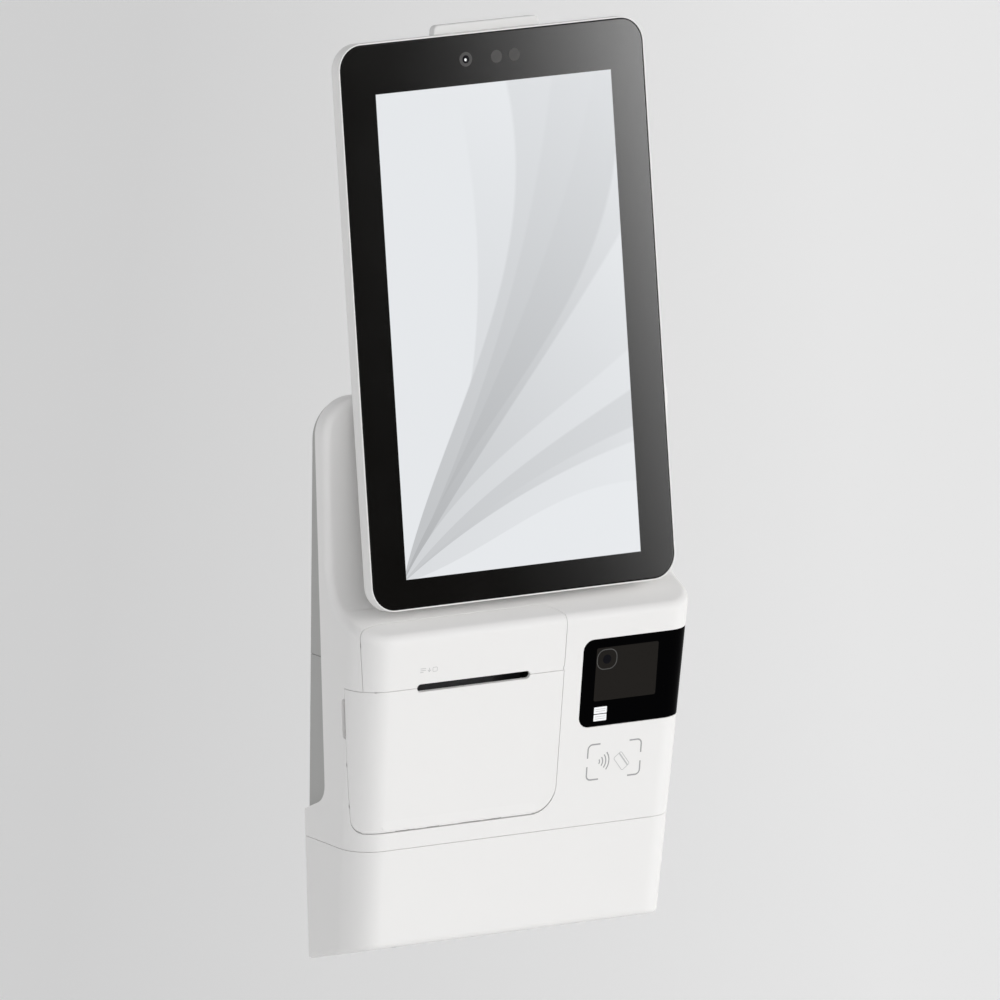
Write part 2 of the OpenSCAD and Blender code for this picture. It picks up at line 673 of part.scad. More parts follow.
module feed_motor() color("dimgray") {
    block(gear_x0 + gear_w + 2, gear_x0 + gear_w + 3, 33, 62.4, -101, -71);
    translate([gear_x0 + gear_w + 3, -pinion_c[0], pinion_c[1]]) rotate([0, 90, 0])
        cylinder(r = 13.5, h = 16, $fn = 64);
    // Post that fixes the motor's plate to the frame
    for (z = [-98, -75]) x_rod(frame_x1 + 1.5, gear_x0 + gear_w + 2, 37, z, 1.6);
}
module motor_pinion() color("goldenrod") {
    spur_gear(gear_x0, gear_w, pinion_c, gear_m, pinion_teeth, 180);
    x_rod(frame_x1 - 3, gear_x0 + gear_w + 1.9, pinion_c[0], pinion_c[1], 1);
}
module idler_axle() color("silver") {
    x_rod(frame_x1 - 2, gear_x0 + gear_w + 1, idler_c[0], idler_c[1], 1.5);
    x_rod(gear_x0 + gear_w + 1, gear_x0 + gear_w + 1.8, idler_c[0], idler_c[1], 2.4);
}
module idler_gear() color("ivory") difference() {
    spur_gear(gear_x0, gear_w, idler_c, gear_m, idler_teeth, 180 / idler_teeth);
    x_rod(gear_x0 - 1, gear_x0 + gear_w + 1, idler_c[0], idler_c[1], 1.55);
}
module platen_gear() color("ivory") difference() {
    spur_gear(gear_x0, gear_w, platen_c, gear_m, platen_teeth, 0);
    x_rod(gear_x0 - 1, gear_x0 + gear_w + 1, platen_c[0], platen_c[1], 2);
}
module platen_shaft() color("silver")
    x_rod(frame_x0 - 3, gear_x0 + gear_w + 1, platen_c[0], platen_c[1], 2);
module platen_roller() color("dimgray") difference() {
    x_rod(platen_x0, platen_x1, platen_c[0], platen_c[1], platen_r);
    x_rod(platen_x0 - 1, platen_x1 + 1, platen_c[0], platen_c[1], 2);
}

arm_x = [platen_x0 - 5, platen_x1 + 2.5];
module platen_carrier() color("silver") {
    for (x = arm_x) difference() {
        side_prism(x, x + 2.5, concat([[platen_c[0] + 4, -91.5], [front_d(-91) - wall - 0.4, -91.5],
            [front_d(-80) - wall - 0.6, -80], [platen_c[0] + 3, -80]],
            arc(platen_c[0], platen_c[1], 5, 90, 270, 10)));
        x_rod(x - 1, x + 4, platen_c[0], platen_c[1], 3.2);
    }
    // Strip that joins the two arms along the door
    on_front(-98) translate([arm_x[0], -2, -wall - 1.2]) cube([arm_x[1] + 2.5 - arm_x[0], 8, 1]);
}
module platen_bushes() color("peru") for (x = arm_x) difference() {
    x_rod(x, x + 2.5, platen_c[0], platen_c[1], 3.2);
    x_rod(x - 1, x + 4, platen_c[0], platen_c[1], 2.05);
}
module fixed_blade() color("silver") {
    side_prism(platen_x0 - 2, platen_x1 + 2, [[72, -77.3], [73.5, -78.6], [82, -78.6],
        [82, -77.3]]);
}
module cutter_housing() color("dimgray") difference() {
    block(frame_x0, frame_x1 + 1.5, 34, 67, -78 + eps, -70.5);
    block(frame_x0 + 2, frame_x1 - 0.5, 44, far, -77.4, -75.6);
}
cut_stroke = 9;
module cutter_blade() color("lightsteelblue")
    block(frame_x0 + 3, frame_x1 - 1.5, 48, 69, -77.1, -75.9);

module paper_sensor() color("black") block(slot_x + 12, slot_x + 22, 64, 69.5, -101, -97.2);

// Spring lever that hooks over the end of the platen shaft
latch_c = [60, -97];
latch_x0 = frame_x0 - 2.2;
module latch_lever() color("steelblue") difference() {
    side_prism(latch_x0, latch_x0 + 1.8, [[57, -100], [63, -100], [66, -92],
        [72, -83.2], [80, -83.4], [81.5, -81], [70, -79.6], [62, -86], [57, -94]]);
    x_rod(latch_x0 - 1, latch_x0 + 3, latch_c[0], latch_c[1], 1.45);
}
module latch_shaft() color("silver")
    x_rod(latch_x0 - 0.4, frame_x0 + 5, latch_c[0], latch_c[1], 1.45);

// ---- Display ----

neck_z = 84;                     // height of the hinge inside the column
hinge_d = 27;                    // depth of the hinge axis
ear_x = 34;                      // sideways place of the hinge ears
ear_t = 4;

module hinge_base() color("dimgray") {
    difference() {
        front_prism(chassis_d + chassis_t, chassis_d + chassis_t + 3) round_rect(92, 64, 5, 0, neck_z);
        for (s = [-1, 1], t = [-1, 1]) out_rod(s * 22, neck_z + t * 24, 5, 40, 2.1);
    }
    for (s = [-1, 1]) difference() {
        union() {
            block(s * ear_x - ear_t / 2, s * ear_x + ear_t / 2, chassis_d + chassis_t + 3 - eps,
                hinge_d, neck_z - 8, neck_z + 8);
            x_rod(s * ear_x - ear_t / 2, s * ear_x + ear_t / 2, hinge_d, neck_z, 8);
        }
        x_rod(s * ear_x - 5, s * ear_x + 5, hinge_d, neck_z, 4);
    }
}
module hinge_pin() color("silver") x_rod(-ear_x - 10, ear_x + 10, hinge_d, neck_z, 4);
module hinge_nuts() color("lightgray") for (s = [-1, 1]) difference() {
    translate([s * (ear_x + 5.5) - 2.5, -hinge_d, neck_z]) rotate([0, 90, 0])
        cylinder(r = 7.4, h = 5, $fn = 6);
    x_rod(s * 40 - 12, s * 40 + 12, hinge_d, neck_z, 4);
}
module friction_washers() color("gray") for (s = [-1, 1]) difference() {
    x_rod(s * (ear_x - ear_t / 2 - 0.5) - 0.5, s * (ear_x - ear_t / 2 - 0.5) + 0.5, hinge_d,
        neck_z, 8);
    x_rod(s * 30 - 10, s * 30 + 10, hinge_d, neck_z, 4);
}
knuckle_x = ear_x - ear_t / 2 - 1.1;
// Neck in the hinge's own frame: barrel, web and the plate on the display's back
module hinge_arm() color("dimgray") difference() {
    union() {
        for (s = [-1, 1])
            x_rod(min(s * knuckle_x, s * (knuckle_x - 14)), max(s * knuckle_x,
                s * (knuckle_x - 14)), hinge_d, neck_z, 8);
        translate([0, -hinge_d, neck_z]) rotate([90 - display_tilt, 0, 0])
            translate([-knuckle_x, -7, 0]) cube([2 * knuckle_x, 14, arm_len - 1]);
        on_display() translate([0, arm_v, -display_t - 2.4]) linear_extrude(2.4 - eps)
            round_rect(100, 70, 6);
    }
    x_rod(-60, 60, hinge_d, neck_z, 4.05);
    x_rod(-knuckle_x + 14, knuckle_x - 14, hinge_d, neck_z, 8.5);
}
// Place of the hinge on the display's own axes
arm_v = (neck_z - display_z) * cos(display_tilt) - (hinge_d - display_depth) * sin(display_tilt);
arm_len = -((neck_z - display_z) * sin(display_tilt) + (hinge_d - display_depth) * cos(display_tilt))
    - display_t;

back_round = 5;                  // rounding of the display's back edge
rim = 1;                         // white rim round the glass
glass_v = 7.575;                 // centre of the glass above the screen's centre
function back_inset(i) = i > 5 ? 0 : back_round * (1 - cos(18 * i));
function back_level(i) = i > 5 ? -0.3 : back_round * (1 - sin(18 * i)) - display_t;
module display_housing() color("white") on_display() translate([0, glass_v, 0]) difference() {
    hull() for (i = [0:6])
        translate([0, 0, back_level(i)])
            linear_extrude(eps)
                round_rect(glass_w + 2 * (rim - back_inset(i)), glass_h + 2 * (rim - back_inset(i)),
                    glass_r + rim - back_inset(i));
    translate([0, 0, -2]) linear_extrude(5)
        round_rect(glass_w + 0.3, glass_h + 0.3, glass_r + 0.15);
    translate([0, 0, 2.2 - display_t]) linear_extrude(far)
        round_rect(glass_w - 8, glass_h - 8, glass_r - 4);
}
module display_frame() color("silver") on_display() difference() {
    translate([0, 0, -7.2]) linear_extrude(1.2) round_rect(232, 360, 8);
    for (s = [-1, 1]) translate([s * 80, 120, -9]) linear_extrude(4) round_rect(30, 60, 6);
}
module lcd_panel() color("lightsteelblue") on_display()
    translate([0, 0, -6]) linear_extrude(4) round_rect(screen_w + 8, screen_h + 10, 1);
module cover_glass() color("black") on_display()
    translate([0, glass_v, -2]) linear_extrude(2) round_rect(glass_w, glass_h, glass_r);
module display_board() color("seagreen") on_display() {
    translate([-60, -150, -9.6]) cube([120, 46, 1.6]);
    for (i = [0:3]) translate([-50 + 26 * i, -140, -10.8]) cube([14, 14, 1.2 + eps]);
}
module camera_module() color("dimgray") on_display() {
    translate([-21.6, 190.2, -7]) {
        translate([-5, -5, 0]) cube([10, 10, 3]);
        cylinder(r = 3.4, h = 5, $fn = 40);
    }
    for (x = [3.6, 18.3]) translate([x, 190, -5]) {
        translate([-3, -3, 0]) cube([6, 6, 2]);
        cylinder(r = 2, h = 3, $fn = 40);
    }
}
light_w = 88;
module status_light() color("ghostwhite") on_display()
    translate([0, glass_v + glass_h / 2 + rim, -12]) linear_extrude(7)
        difference() {
            round_rect(light_w, 14, 5);
            translate([-light_w, -14]) square([2 * light_w, 14]);
        }

wall_bracket();
rear_housing();
rear_cover();
chassis_plate();
main_shell();
printer_hood();
lower_cover();
scanner_window();
scanner_carrier();
scanner_display();
scanner_camera();
scanner_lamps();
nfc_reader();
mainboard();
mainboard_heatsink();
power_board();
board_standoffs();
port_board();
dc_inlet();
ethernet_port();
usb_ports();
speaker();
power_button();
chassis_screws();
printer_frame();
paper_bucket();
paper_roll();
paper_core();
print_head();
head_heatsink();
head_springs();
feed_motor();
motor_pinion();
idler_axle();
idler_gear();
cutter_housing();
cutter_blade();
paper_sensor();
latch_lever();
latch_shaft();
printer_door();
door_hinge_pins();
platen_carrier();
platen_bushes();
platen_shaft();
platen_roller();
platen_gear();
fixed_blade();
hinge_base();
hinge_pin();
hinge_nuts();
hinge_arm();
friction_washers();
display_housing();
display_frame();
lcd_panel();
cover_glass();
display_board();
camera_module();
status_light();
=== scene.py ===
import json
import math

import bmesh
import bpy
import numpy as np
from mathutils import Matrix, Vector


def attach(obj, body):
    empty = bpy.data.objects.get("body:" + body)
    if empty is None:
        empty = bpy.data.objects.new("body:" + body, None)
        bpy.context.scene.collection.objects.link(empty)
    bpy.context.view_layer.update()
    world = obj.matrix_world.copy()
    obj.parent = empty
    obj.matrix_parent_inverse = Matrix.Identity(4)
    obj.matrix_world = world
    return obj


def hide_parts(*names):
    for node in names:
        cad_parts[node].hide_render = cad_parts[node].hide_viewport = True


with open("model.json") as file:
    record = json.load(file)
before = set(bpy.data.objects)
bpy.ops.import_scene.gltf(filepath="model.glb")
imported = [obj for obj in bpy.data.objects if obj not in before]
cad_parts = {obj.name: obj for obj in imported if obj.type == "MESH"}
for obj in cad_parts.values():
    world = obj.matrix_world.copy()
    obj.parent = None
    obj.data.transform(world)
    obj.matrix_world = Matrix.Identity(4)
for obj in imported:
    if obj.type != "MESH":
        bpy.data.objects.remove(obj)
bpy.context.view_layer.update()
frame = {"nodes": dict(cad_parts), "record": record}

NODES = frame["nodes"]
SLOTS = {s["node"]: s["material_slot"] for s in frame["record"]["subparts"]}
MM = 0.001

# ---------------------------------------------------------------- dimensions, in millimetres
CAB_BOTTOM, COLUMN_TOP = -277.4, 136.0
HALF_BOTTOM, HALF_TOP = 130.3, 144.1
TAPER = (HALF_TOP - HALF_BOTTOM) / (COLUMN_TOP - CAB_BOTTOM)
DEPTH_BOTTOM, DEPTH_SHELF, SHELF_EDGE_Z = 62.0, 92.2, -32.0
LEAN = (DEPTH_SHELF - DEPTH_BOTTOM) / (SHELF_EDGE_Z - CAB_BOTTOM)
LEAN_COS = math.cos(math.atan(LEAN))
COLUMN_DEPTH, SHELF_Z0, SLOPE = 43.0, -7.6, math.radians(23.2)
BOTTOM_SLOPE = math.radians(15.2)
CORNER_R, COLUMN_R, BLEND_R, EDGE_R, UNDER_R = 23.0, 28.0, 35.0, 5.5, 3.0
BLEND_C = (COLUMN_DEPTH + BLEND_R, SHELF_Z0 + BLEND_R / math.tan((math.pi / 2 + SLOPE) / 2))
WALL = 2.5
SLOT_X, SLOT_Z, SLOT_W, SLOT_H = -46.05, -68.1, 92.7, 5.2
DOOR_RIGHT, DOOR_BOTTOM, DOOR_SIDE, DOOR_LIFT = 28.7, -173.8, 62.0, 0.8
LOWER_SEAM = -187.0
WINDOW_X, WINDOW_TOP, WINDOW_BOTTOM, WINDOW_SIDE = 44.0, -48.3, -113.5, 58.0
SHELL_BACK, NOTCH_Z, NOTCH_R, NOTCH_SLOPE = 30.0, -160.0, 16.0, math.radians(23)
REAR_HALF, REAR_TOP, REAR_R, REAR_TAPER = 129.5, 128.0, 28.0, 0.0075
TILT, DISPLAY_Z, DISPLAY_DEPTH = math.radians(7.34), 180.0, 57.45
GLASS_W, GLASS_H, GLASS_R, GLASS_V = 249.2, 400.7, 18.0, 7.575
SCREEN_W, SCREEN_H = 193.6, 344.2
PIVOT_Z = DOOR_BOTTOM - 12
PIVOT_D = DEPTH_BOTTOM + LEAN * (PIVOT_Z - CAB_BOTTOM) - 5.6 / LEAN_COS


def front_d(z):
    return DEPTH_BOTTOM + LEAN * (z - CAB_BOTTOM)


def half_w(z):
    return HALF_BOTTOM + TAPER * (z - CAB_BOTTOM)


# ---------------------------------------------------------------- the cabinet's form
def rmax(a, b, r):
    """Larger of two distances, with the edge between them rounded to radius r."""
    a, b = a + r, b + r
    return np.minimum(np.maximum(a, b), 0) + np.hypot(np.maximum(a, 0), np.maximum(b, 0)) - r


def rect(a, b, half_a, half_b, r):
    """Distance to a rectangle with round corners, centred on 0, 0."""
    return rmax(np.abs(a) - half_a, np.abs(b) - half_b, r)


def form(p):
    """Distance from the cabinet's skin, negative inside, for points in millimetres."""
    x, d, z = p[..., 0], -p[..., 1], p[..., 2]
    side = (np.abs(x) - half_w(z)) * math.cos(math.atan(TAPER))
    front = (d - front_d(z)) * LEAN_COS
    walls = np.maximum(rmax(side, front, CORNER_R), rmax(side, z - COLUMN_TOP, COLUMN_R))
    shelf = (z - SHELF_Z0 + (d - COLUMN_DEPTH) * math.tan(SLOPE)) * math.cos(SLOPE)
    cd, cz = d - BLEND_C[0], z - BLEND_C[1]
    hollow = (cz <= 0) & (cd * math.cos(SLOPE) - cz * math.sin(SLOPE) <= 0)
    cap = np.where(hollow, BLEND_R - np.hypot(cd, cz), np.minimum(shelf, d - COLUMN_DEPTH))
    under = (CAB_BOTTOM + d * math.tan(BOTTOM_SLOPE) - z) * math.cos(BOTTOM_SLOPE)
    return rmax(rmax(walls, cap, EDGE_R), under, UNDER_R)


def slope_of(f, p, h=1e-3):
    g = np.empty_like(p)
    for k in range(3):
        e = np.zeros(3)
        e[k] = h
        g[:, k] = (f(p + e) - f(p - e)) / (2 * h)
    return g


def unit(v):
    return v / np.maximum(np.linalg.norm(v, axis=-1, keepdims=True), 1e-12)


def onto_skin(p, turns=4):
    for _ in range(turns):
        g = slope_of(form, p)
        p = p - g * (form(p) / np.maximum((g * g).sum(1), 1e-9))[:, None]
    return p


def onto_line(p, line, turns=6):
    """Moves points onto the skin and onto line = 0 together."""
    for _ in range(turns):
        a, b = slope_of(form, p), slope_of(line, p)
        aa, bb, ab = (a * a).sum(1), (b * b).sum(1), (a * b).sum(1)
        fa, fb = form(p), line(p)
        det = np.maximum(aa * bb - ab * ab, 1e-6)
        ka, kb = (fa * bb - fb * ab) / det, (fb * aa - fa * ab) / det
        p = p - np.clip(a * ka[:, None] + b * kb[:, None], -2, 2)
    return p


def skin_mesh(lo, hi, h):
    """Triangles over the whole skin, from a grid of cells h apart."""
    axes = [np.arange(lo[k], hi[k] + h, h) for k in range(3)]
    f = form(np.stack(np.meshgrid(*axes, indexing="ij"), -1))
    inside = f < 0
    corners = [(i, j, k) for i in (0, 1) for j in (0, 1) for k in (0, 1)]
    cells = sum(inside[i:i - 1 or None, j:j - 1 or None, k:k - 1 or None].astype(np.int8)
                for i, j, k in corners)
    active = np.argwhere((cells > 0) & (cells < 8))
    index = np.full(cells.shape, -1)
    index[tuple(active.T)] = np.arange(len(active))
    total, count = np.zeros((len(active), 3)), np.zeros(len(active))
    for a in range(3):
        for c in corners:
            if c[a]:
                continue
            start = active + np.array(c)
            end = start.copy()
            end[:, a] += 1
            f0, f1 = f[tuple(start.T)], f[tuple(end.T)]
            cut = (f0 < 0) != (f1 < 0)
            t = np.where(cut, f0 / np.where(cut, f0 - f1, 1), 0)
            at = start.astype(float)
            at[:, a] += t
            total += at * cut[:, None]
            count += cut
    v = np.array(lo) + h * total / count[:, None]
    tris = []
    for a in range(3):
        b, c = (a + 1) % 3, (a + 2) % 3
        s0, s1 = [slice(1, -1)] * 3, [slice(1, -1)] * 3
        s0[a], s1[a] = slice(0, -1), slice(1, None)
        near, beyond = inside[tuple(s0)], inside[tuple(s1)]
        for flip, mask in ((False, near & ~beyond), (True, ~near & beyond)):
            g = np.argwhere(mask)
            g[:, b] += 1
            g[:, c] += 1
            eb, ec = np.eye(3, dtype=int)[b], np.eye(3, dtype=int)[c]
            q = np.stack([index[tuple((g - o).T)] for o in (eb + ec, ec, 0 * eb, eb)], 1)
            if flip:
                q = q[:, ::-1]
            tris += [q[:, [0, 1, 2]], q[:, [0, 2, 3]]]
    return onto_skin(v), np.concatenate(tris)


def refine(v, t, near):
    """Splits the triangles whose middle is near a small feature, and their neighbours to fit."""
    hit = near(v[t].mean(1))
    n = len(v)
    keys = np.sort(np.stack([t[:, [0, 1]], t[:, [1, 2]], t[:, [2, 0]]], 1), 2)
    code = keys[..., 0].astype(np.int64) * n + keys[..., 1]
    wanted = np.unique(code[hit])
    marked = np.isin(code, wanted)
    mid = onto_skin((v[wanted // n] + v[wanted % n]) / 2)
    number = n + np.searchsorted(wanted, code)
    out = [t[~marked.any(1)]]
    for pattern in range(1, 8):
        bits = np.array([bool(pattern & 1), bool(pattern & 2), bool(pattern & 4)])
        rows = np.where((marked == bits).all(1))[0]
        if not len(rows):
            continue
        turn = 0
        if bits.sum() == 1:
            turn = int(np.argmax(bits))
        elif bits.sum() == 2:
            turn = (int(np.argmin(bits)) + 1) % 3
        tt, m = np.roll(t[rows], -turn, 1), np.roll(number[rows], -turn, 1)
        a, b, c = tt.T
        p, q, r = m.T
        if bits.sum() == 1:
            parts = [(a, p, c), (p, b, c)]
        elif bits.sum() == 2:
            parts = [(a, p, c), (p, q, c), (p, b, q)]
        else:
            parts = [(a, p, r), (p, b, q), (r, q, c), (p, q, r)]
        out += [np.stack(x, 1) for x in parts]
    return np.concatenate([v, mid]), np.concatenate(out)


def score(v, t, line, snap):
    """Cuts the triangles along line = 0, so that none lies on both sides of it."""
    g = line(v)
    near = np.abs(g) < snap
    v = v.copy()
    v[near] = onto_line(v[near], line)
    g[near] = 0
    s = np.sign(g).astype(int)
    n = len(v)
    cross = np.stack([s[t[:, i]] * s[t[:, (i + 1) % 3]] < 0 for i in range(3)], 1)
    a = np.stack([t, np.roll(t, -1, 1)], 2)
    a.sort(2)
    code = a[..., 0].astype(np.int64) * n + a[..., 1]
    wanted = np.unique(code[cross])
    if not len(wanted):
        return v, t
    i, j = wanted // n, wanted % n
    w = (g[i] / (g[i] - g[j]))[:, None]
    mid = onto_line(v[i] * (1 - w) + v[j] * w, line)
    number = n + np.searchsorted(wanted, code)
    count = cross.sum(1)
    out = [t[count == 0]]
    rows = count == 1
    turn = np.argmax(cross[rows], 1)
    for k in range(3):
        tt, m = np.roll(t[rows][turn == k], -k, 1), np.roll(number[rows][turn == k], -k, 1)
        p0, p1, p2 = tt.T
        out += [np.stack(x, 1) for x in ((p0, m[:, 0], p2), (m[:, 0], p1, p2))]
    rows = count == 2
    turn = (np.argmin(cross[rows], 1) + 2) % 3
    for k in range(3):
        tt, m = np.roll(t[rows][turn == k], -k, 1), np.roll(number[rows][turn == k], -k, 1)
        p0, p1, p2 = tt.T
        out += [np.stack(x, 1) for x in ((p0, m[:, 0], m[:, 2]), (m[:, 0], p1, p2),
                                         (m[:, 0], p2, m[:, 2]))]
    return np.concatenate([v, mid]), np.concatenate(out)


# Lines that part the covers; each is negative inside its own area
def hood_plan(p):
    x, d = p[..., 0], -p[..., 1]
    return np.where(x < -112, np.hypot(x + 112, d - 125) - 50, rmax(x - DOOR_RIGHT, 75 - d, 18))


def door_side(p):
    return rmax(DOOR_SIDE + p[..., 1], DOOR_BOTTOM - p[..., 2], 9)


def door_front(p):
    return rmax(p[..., 0] - DOOR_RIGHT, DOOR_BOTTOM - p[..., 2], 20)


def door_side_raised(p):
    return rmax(DOOR_SIDE + p[..., 1], DOOR_BOTTOM + DOOR_LIFT - p[..., 2], 9)


def door_front_raised(p):
    return rmax(p[..., 0] - DOOR_RIGHT, DOOR_BOTTOM + DOOR_LIFT - p[..., 2], 20)


def door_top(p):
    return p[..., 2] - SLOT_Z


def window_front(p):
    half = (WINDOW_TOP - WINDOW_BOTTOM) / 2
    return rmax(WINDOW_X - p[..., 0], np.abs(p[..., 2] - WINDOW_BOTTOM - half) - half, 8)


def window_side(p):
    return WINDOW_SIDE + p[..., 1]


def slot_line(p):
    far = 70 + p[..., 1]
    return np.maximum(rect(p[..., 0] - SLOT_X, p[..., 2] - SLOT_Z, SLOT_W / 2, SLOT_H / 2,
                           SLOT_H / 2 - 0.01), far)


def lower_line(p):
    return p[..., 2] - LOWER_SEAM


def finger_line(p):
    d, z = -p[..., 1], p[..., 2]
    return np.maximum(rect(d - 61.4, z + 90.5, 4, 14.5, 3.5), p[..., 0] + 110)


def notch_line(p):
    a, b = -p[..., 1] - SHELL_BACK + NOTCH_R, NOTCH_Z + NOTCH_R - p[..., 2]
    sn, cs = math.sin(NOTCH_SLOPE), math.cos(NOTCH_SLOPE)
    floor_d = a * sn + b * cs
    along = a * cs - b * sn
    round_d = np.where((a > 0) & (b > 0) & (along > 0), np.hypot(a, b), np.maximum(a, floor_d))
    return round_d - NOTCH_R


def wall_line(p):
    return 0.8 + p[..., 1]


def neck_line(p):
    return np.maximum(rect(p[..., 0], p[..., 2] - 86, 40, 20, 6), 35 + p[..., 1])


def speaker_line(p):
    x, d, z = p[..., 0] - 90, -p[..., 1] - 38, p[..., 2]
    x = x - 5 * np.clip(np.round(x / 5), -4, 4)
    return np.maximum(rect(x, np.abs(d) - 8, 1, 6, 0.95), z + 200)


def button_line(p):
    return np.maximum(np.hypot(p[..., 0] + 80, -p[..., 1] - 30) - 5.2, p[..., 2] + 200)


LINES = [(hood_plan, 0.7), (door_top, 0.7), (door_side, 0.7), (door_front, 0.7),
         (door_side_raised, 0.25), (door_front_raised, 0.25),
         (window_front, 0.7), (window_side, 0.7), (lower_line, 0.7), (slot_line, 0.25),
         (finger_line, 0.6), (notch_line, 0.7), (wall_line, 0.6),
         (neck_line, 0.6), (button_line, 0.3), (speaker_line, 0.12)]


def cabinet_areas():
    v, t = skin_mesh((-147, -95, -281), (147, 5, 139), 2.0)
    v, t = refine(v, t, lambda p: slot_line(p) < 2.5)
    v, t = refine(v, t, lambda p: (np.abs(p[:, 0] - 90) < 25) & (np.abs(p[:, 1] + 38) < 18)
                  & (p[:, 2] < -250))
    v, t = refine(v, t, lambda p: (speaker_line(p) < 1.2) | (np.abs(button_line(p)) < 1.5))
    for line, snap in LINES:
        v, t = score(v, t, line, snap)
    c = v[t].mean(1)
    z, d = c[:, 2], -c[:, 1]
    hood = (hood_plan(c) < 0) & (z > SLOT_Z) & (d > 55)
    door_hole = (z < SLOT_Z) & (door_side(c) < 0) & (door_front(c) < 0)
    door = door_hole & (door_side_raised(c) < 0) & (door_front_raised(c) < 0)
    window = (window_front(c) < 0) & (window_side(c) < 0)
    lower = (z < LOWER_SEAM)
    gone = (slot_line(c) < 0) | (finger_line(c) < 0) & ~door_hole | (notch_line(c) < 0)
    gone |= (wall_line(c) > 0) | (neck_line(c) < 0)
    gone |= (speaker_line(c) < 0) | (button_line(c) < 0)
    main = ~(hood | door_hole | window | lower)
    return v, t, {k: m & ~gone for k, m in (("hood", hood), ("door", door), ("window", window),
                                            ("lower", lower), ("main", main))}


def new_object(name, v, faces, normals=None, materials=(), indices=None):
    me = bpy.data.meshes.new(name)
    me.from_pydata([tuple(p) for p in np.asarray(v) * MM], [], [tuple(map(int, f)) for f in faces])
    for m in materials:
        me.materials.append(m)
    if indices is not None:
        me.polygons.foreach_set("material_index", indices)
    me.polygons.foreach_set("use_smooth", [True] * len(me.polygons))
    me.update()
    if normals is not None:
        me.normals_split_custom_set([tuple(n) for n in unit(np.asarray(normals, float))])
    ob = bpy.data.objects.new(name, me)
    bpy.context.scene.collection.objects.link(ob)
    return ob


def cover(name, v, t, material, gap=0.15, rho=0.3):
    """A moulded cover of even wall over these triangles, with rounded rims at its seams."""
    used, flat = np.unique(t, return_inverse=True)
    t, v = flat.reshape(-1, 3), v[used].copy()
    e = np.concatenate([t[:, [0, 1]], t[:, [1, 2]], t[:, [2, 0]]])
    code = np.sort(e, 1)
    code = code[:, 0].astype(np.int64) * len(v) + code[:, 1]
    _, first, times = np.unique(code, return_index=True, return_counts=True)
    rim = e[first[times == 1]]
    n = unit(slope_of(form, v))
    along = unit(v[rim[:, 1]] - v[rim[:, 0]])
    inward = unit(np.cross((n[rim[:, 0]] + n[rim[:, 1]]), along))
    total, hits = np.zeros_like(v), np.zeros(len(v))
    for k in (0, 1):
        np.add.at(total, rim[:, k], inward)
        np.add.at(hits, rim[:, k], 1)
    edge = np.where(hits > 0)[0]
    mean = total[edge] / hits[edge][:, None]
    mitre = mean / np.maximum((mean * mean).sum(1), 0.3)[:, None]
    v[edge] = onto_skin(v[edge] + mitre * (gap + rho))
    n = unit(slope_of(form, v))
    out = -mitre
    out_n = unit(out)
    place = np.full(len(v), -1)
    place[edge] = np.arange(len(edge))
    ra, rb = place[rim[:, 0]], place[rim[:, 1]]
    rows, row_n = [v[edge]], [n[edge]]
    for deg in (30, 60, 90):
        c, s = math.cos(math.radians(deg)), math.sin(math.radians(deg))
        rows.append(v[edge] + out * rho * s - n[edge] * rho * (1 - c))
        row_n.append(n[edge] * c + out_n * s)
    rows.append(v[edge] + out * rho - n[edge] * WALL)
    row_n.append(out_n)
    size = len(v)
    base = [edge] + [size + i * len(edge) + np.arange(len(edge)) for i in range(4)]
    inner0 = size + 4 * len(edge)
    points = np.concatenate([v] + rows[1:] + [v - n * WALL])
    faces = [np.c_[t, -np.ones(len(t), int)]]
    normals = [n[t].reshape(-1, 3)]
    for k in range(4):
        f = np.stack([base[k][rb], base[k][ra], base[k + 1][ra], base[k + 1][rb]], 1)
        faces.append(f)
        low, high = row_n[k], row_n[k + 1]
        normals.append(np.stack([low[rb], low[ra], high[ra], high[rb]], 1).reshape(-1, 3))
    f = np.stack([base[4][rb], base[4][ra], inner0 + edge[ra], inner0 + edge[rb]], 1)
    faces.append(f)
    normals.append(np.stack([-n[edge[rb]], -n[edge[ra]]] * 2, 1)[:, [0, 1, 3, 2]].reshape(-1, 3))
    faces.append(np.c_[inner0 + t[:, ::-1], -np.ones(len(t), int)])
    normals.append(-n[t[:, ::-1]].reshape(-1, 3))
    listed = [row[row >= 0] for row in np.concatenate(faces)]
    return new_object(name, points, listed, np.concatenate(normals), [material])


# ---------------------------------------------------------------- materials
def node(tree, kind, **values):
    made = tree.nodes.new("ShaderNode" + kind)
    inputs = values.pop("inputs", {})
    for k, val in values.items():
        setattr(made, k, val)
    for k, val in inputs.items():
        if isinstance(val, bpy.types.NodeSocket):
            tree.links.new(val, made.inputs[k])
        else:
            made.inputs[k].default_value = val
    return made


def math_node(tree, op, a, b=0.0, c=0.0, clamp=False):
    return node(tree, "Math", operation=op, use_clamp=clamp, inputs={0: a, 1: b, 2: c}).outputs[0]


def ramp(tree, value, low, high, out_low, out_high):
    return node(tree, "MapRange", inputs={"Value": value, "From Min": low, "From Max": high,
                                          "To Min": out_low, "To Max": out_high}).outputs[0]


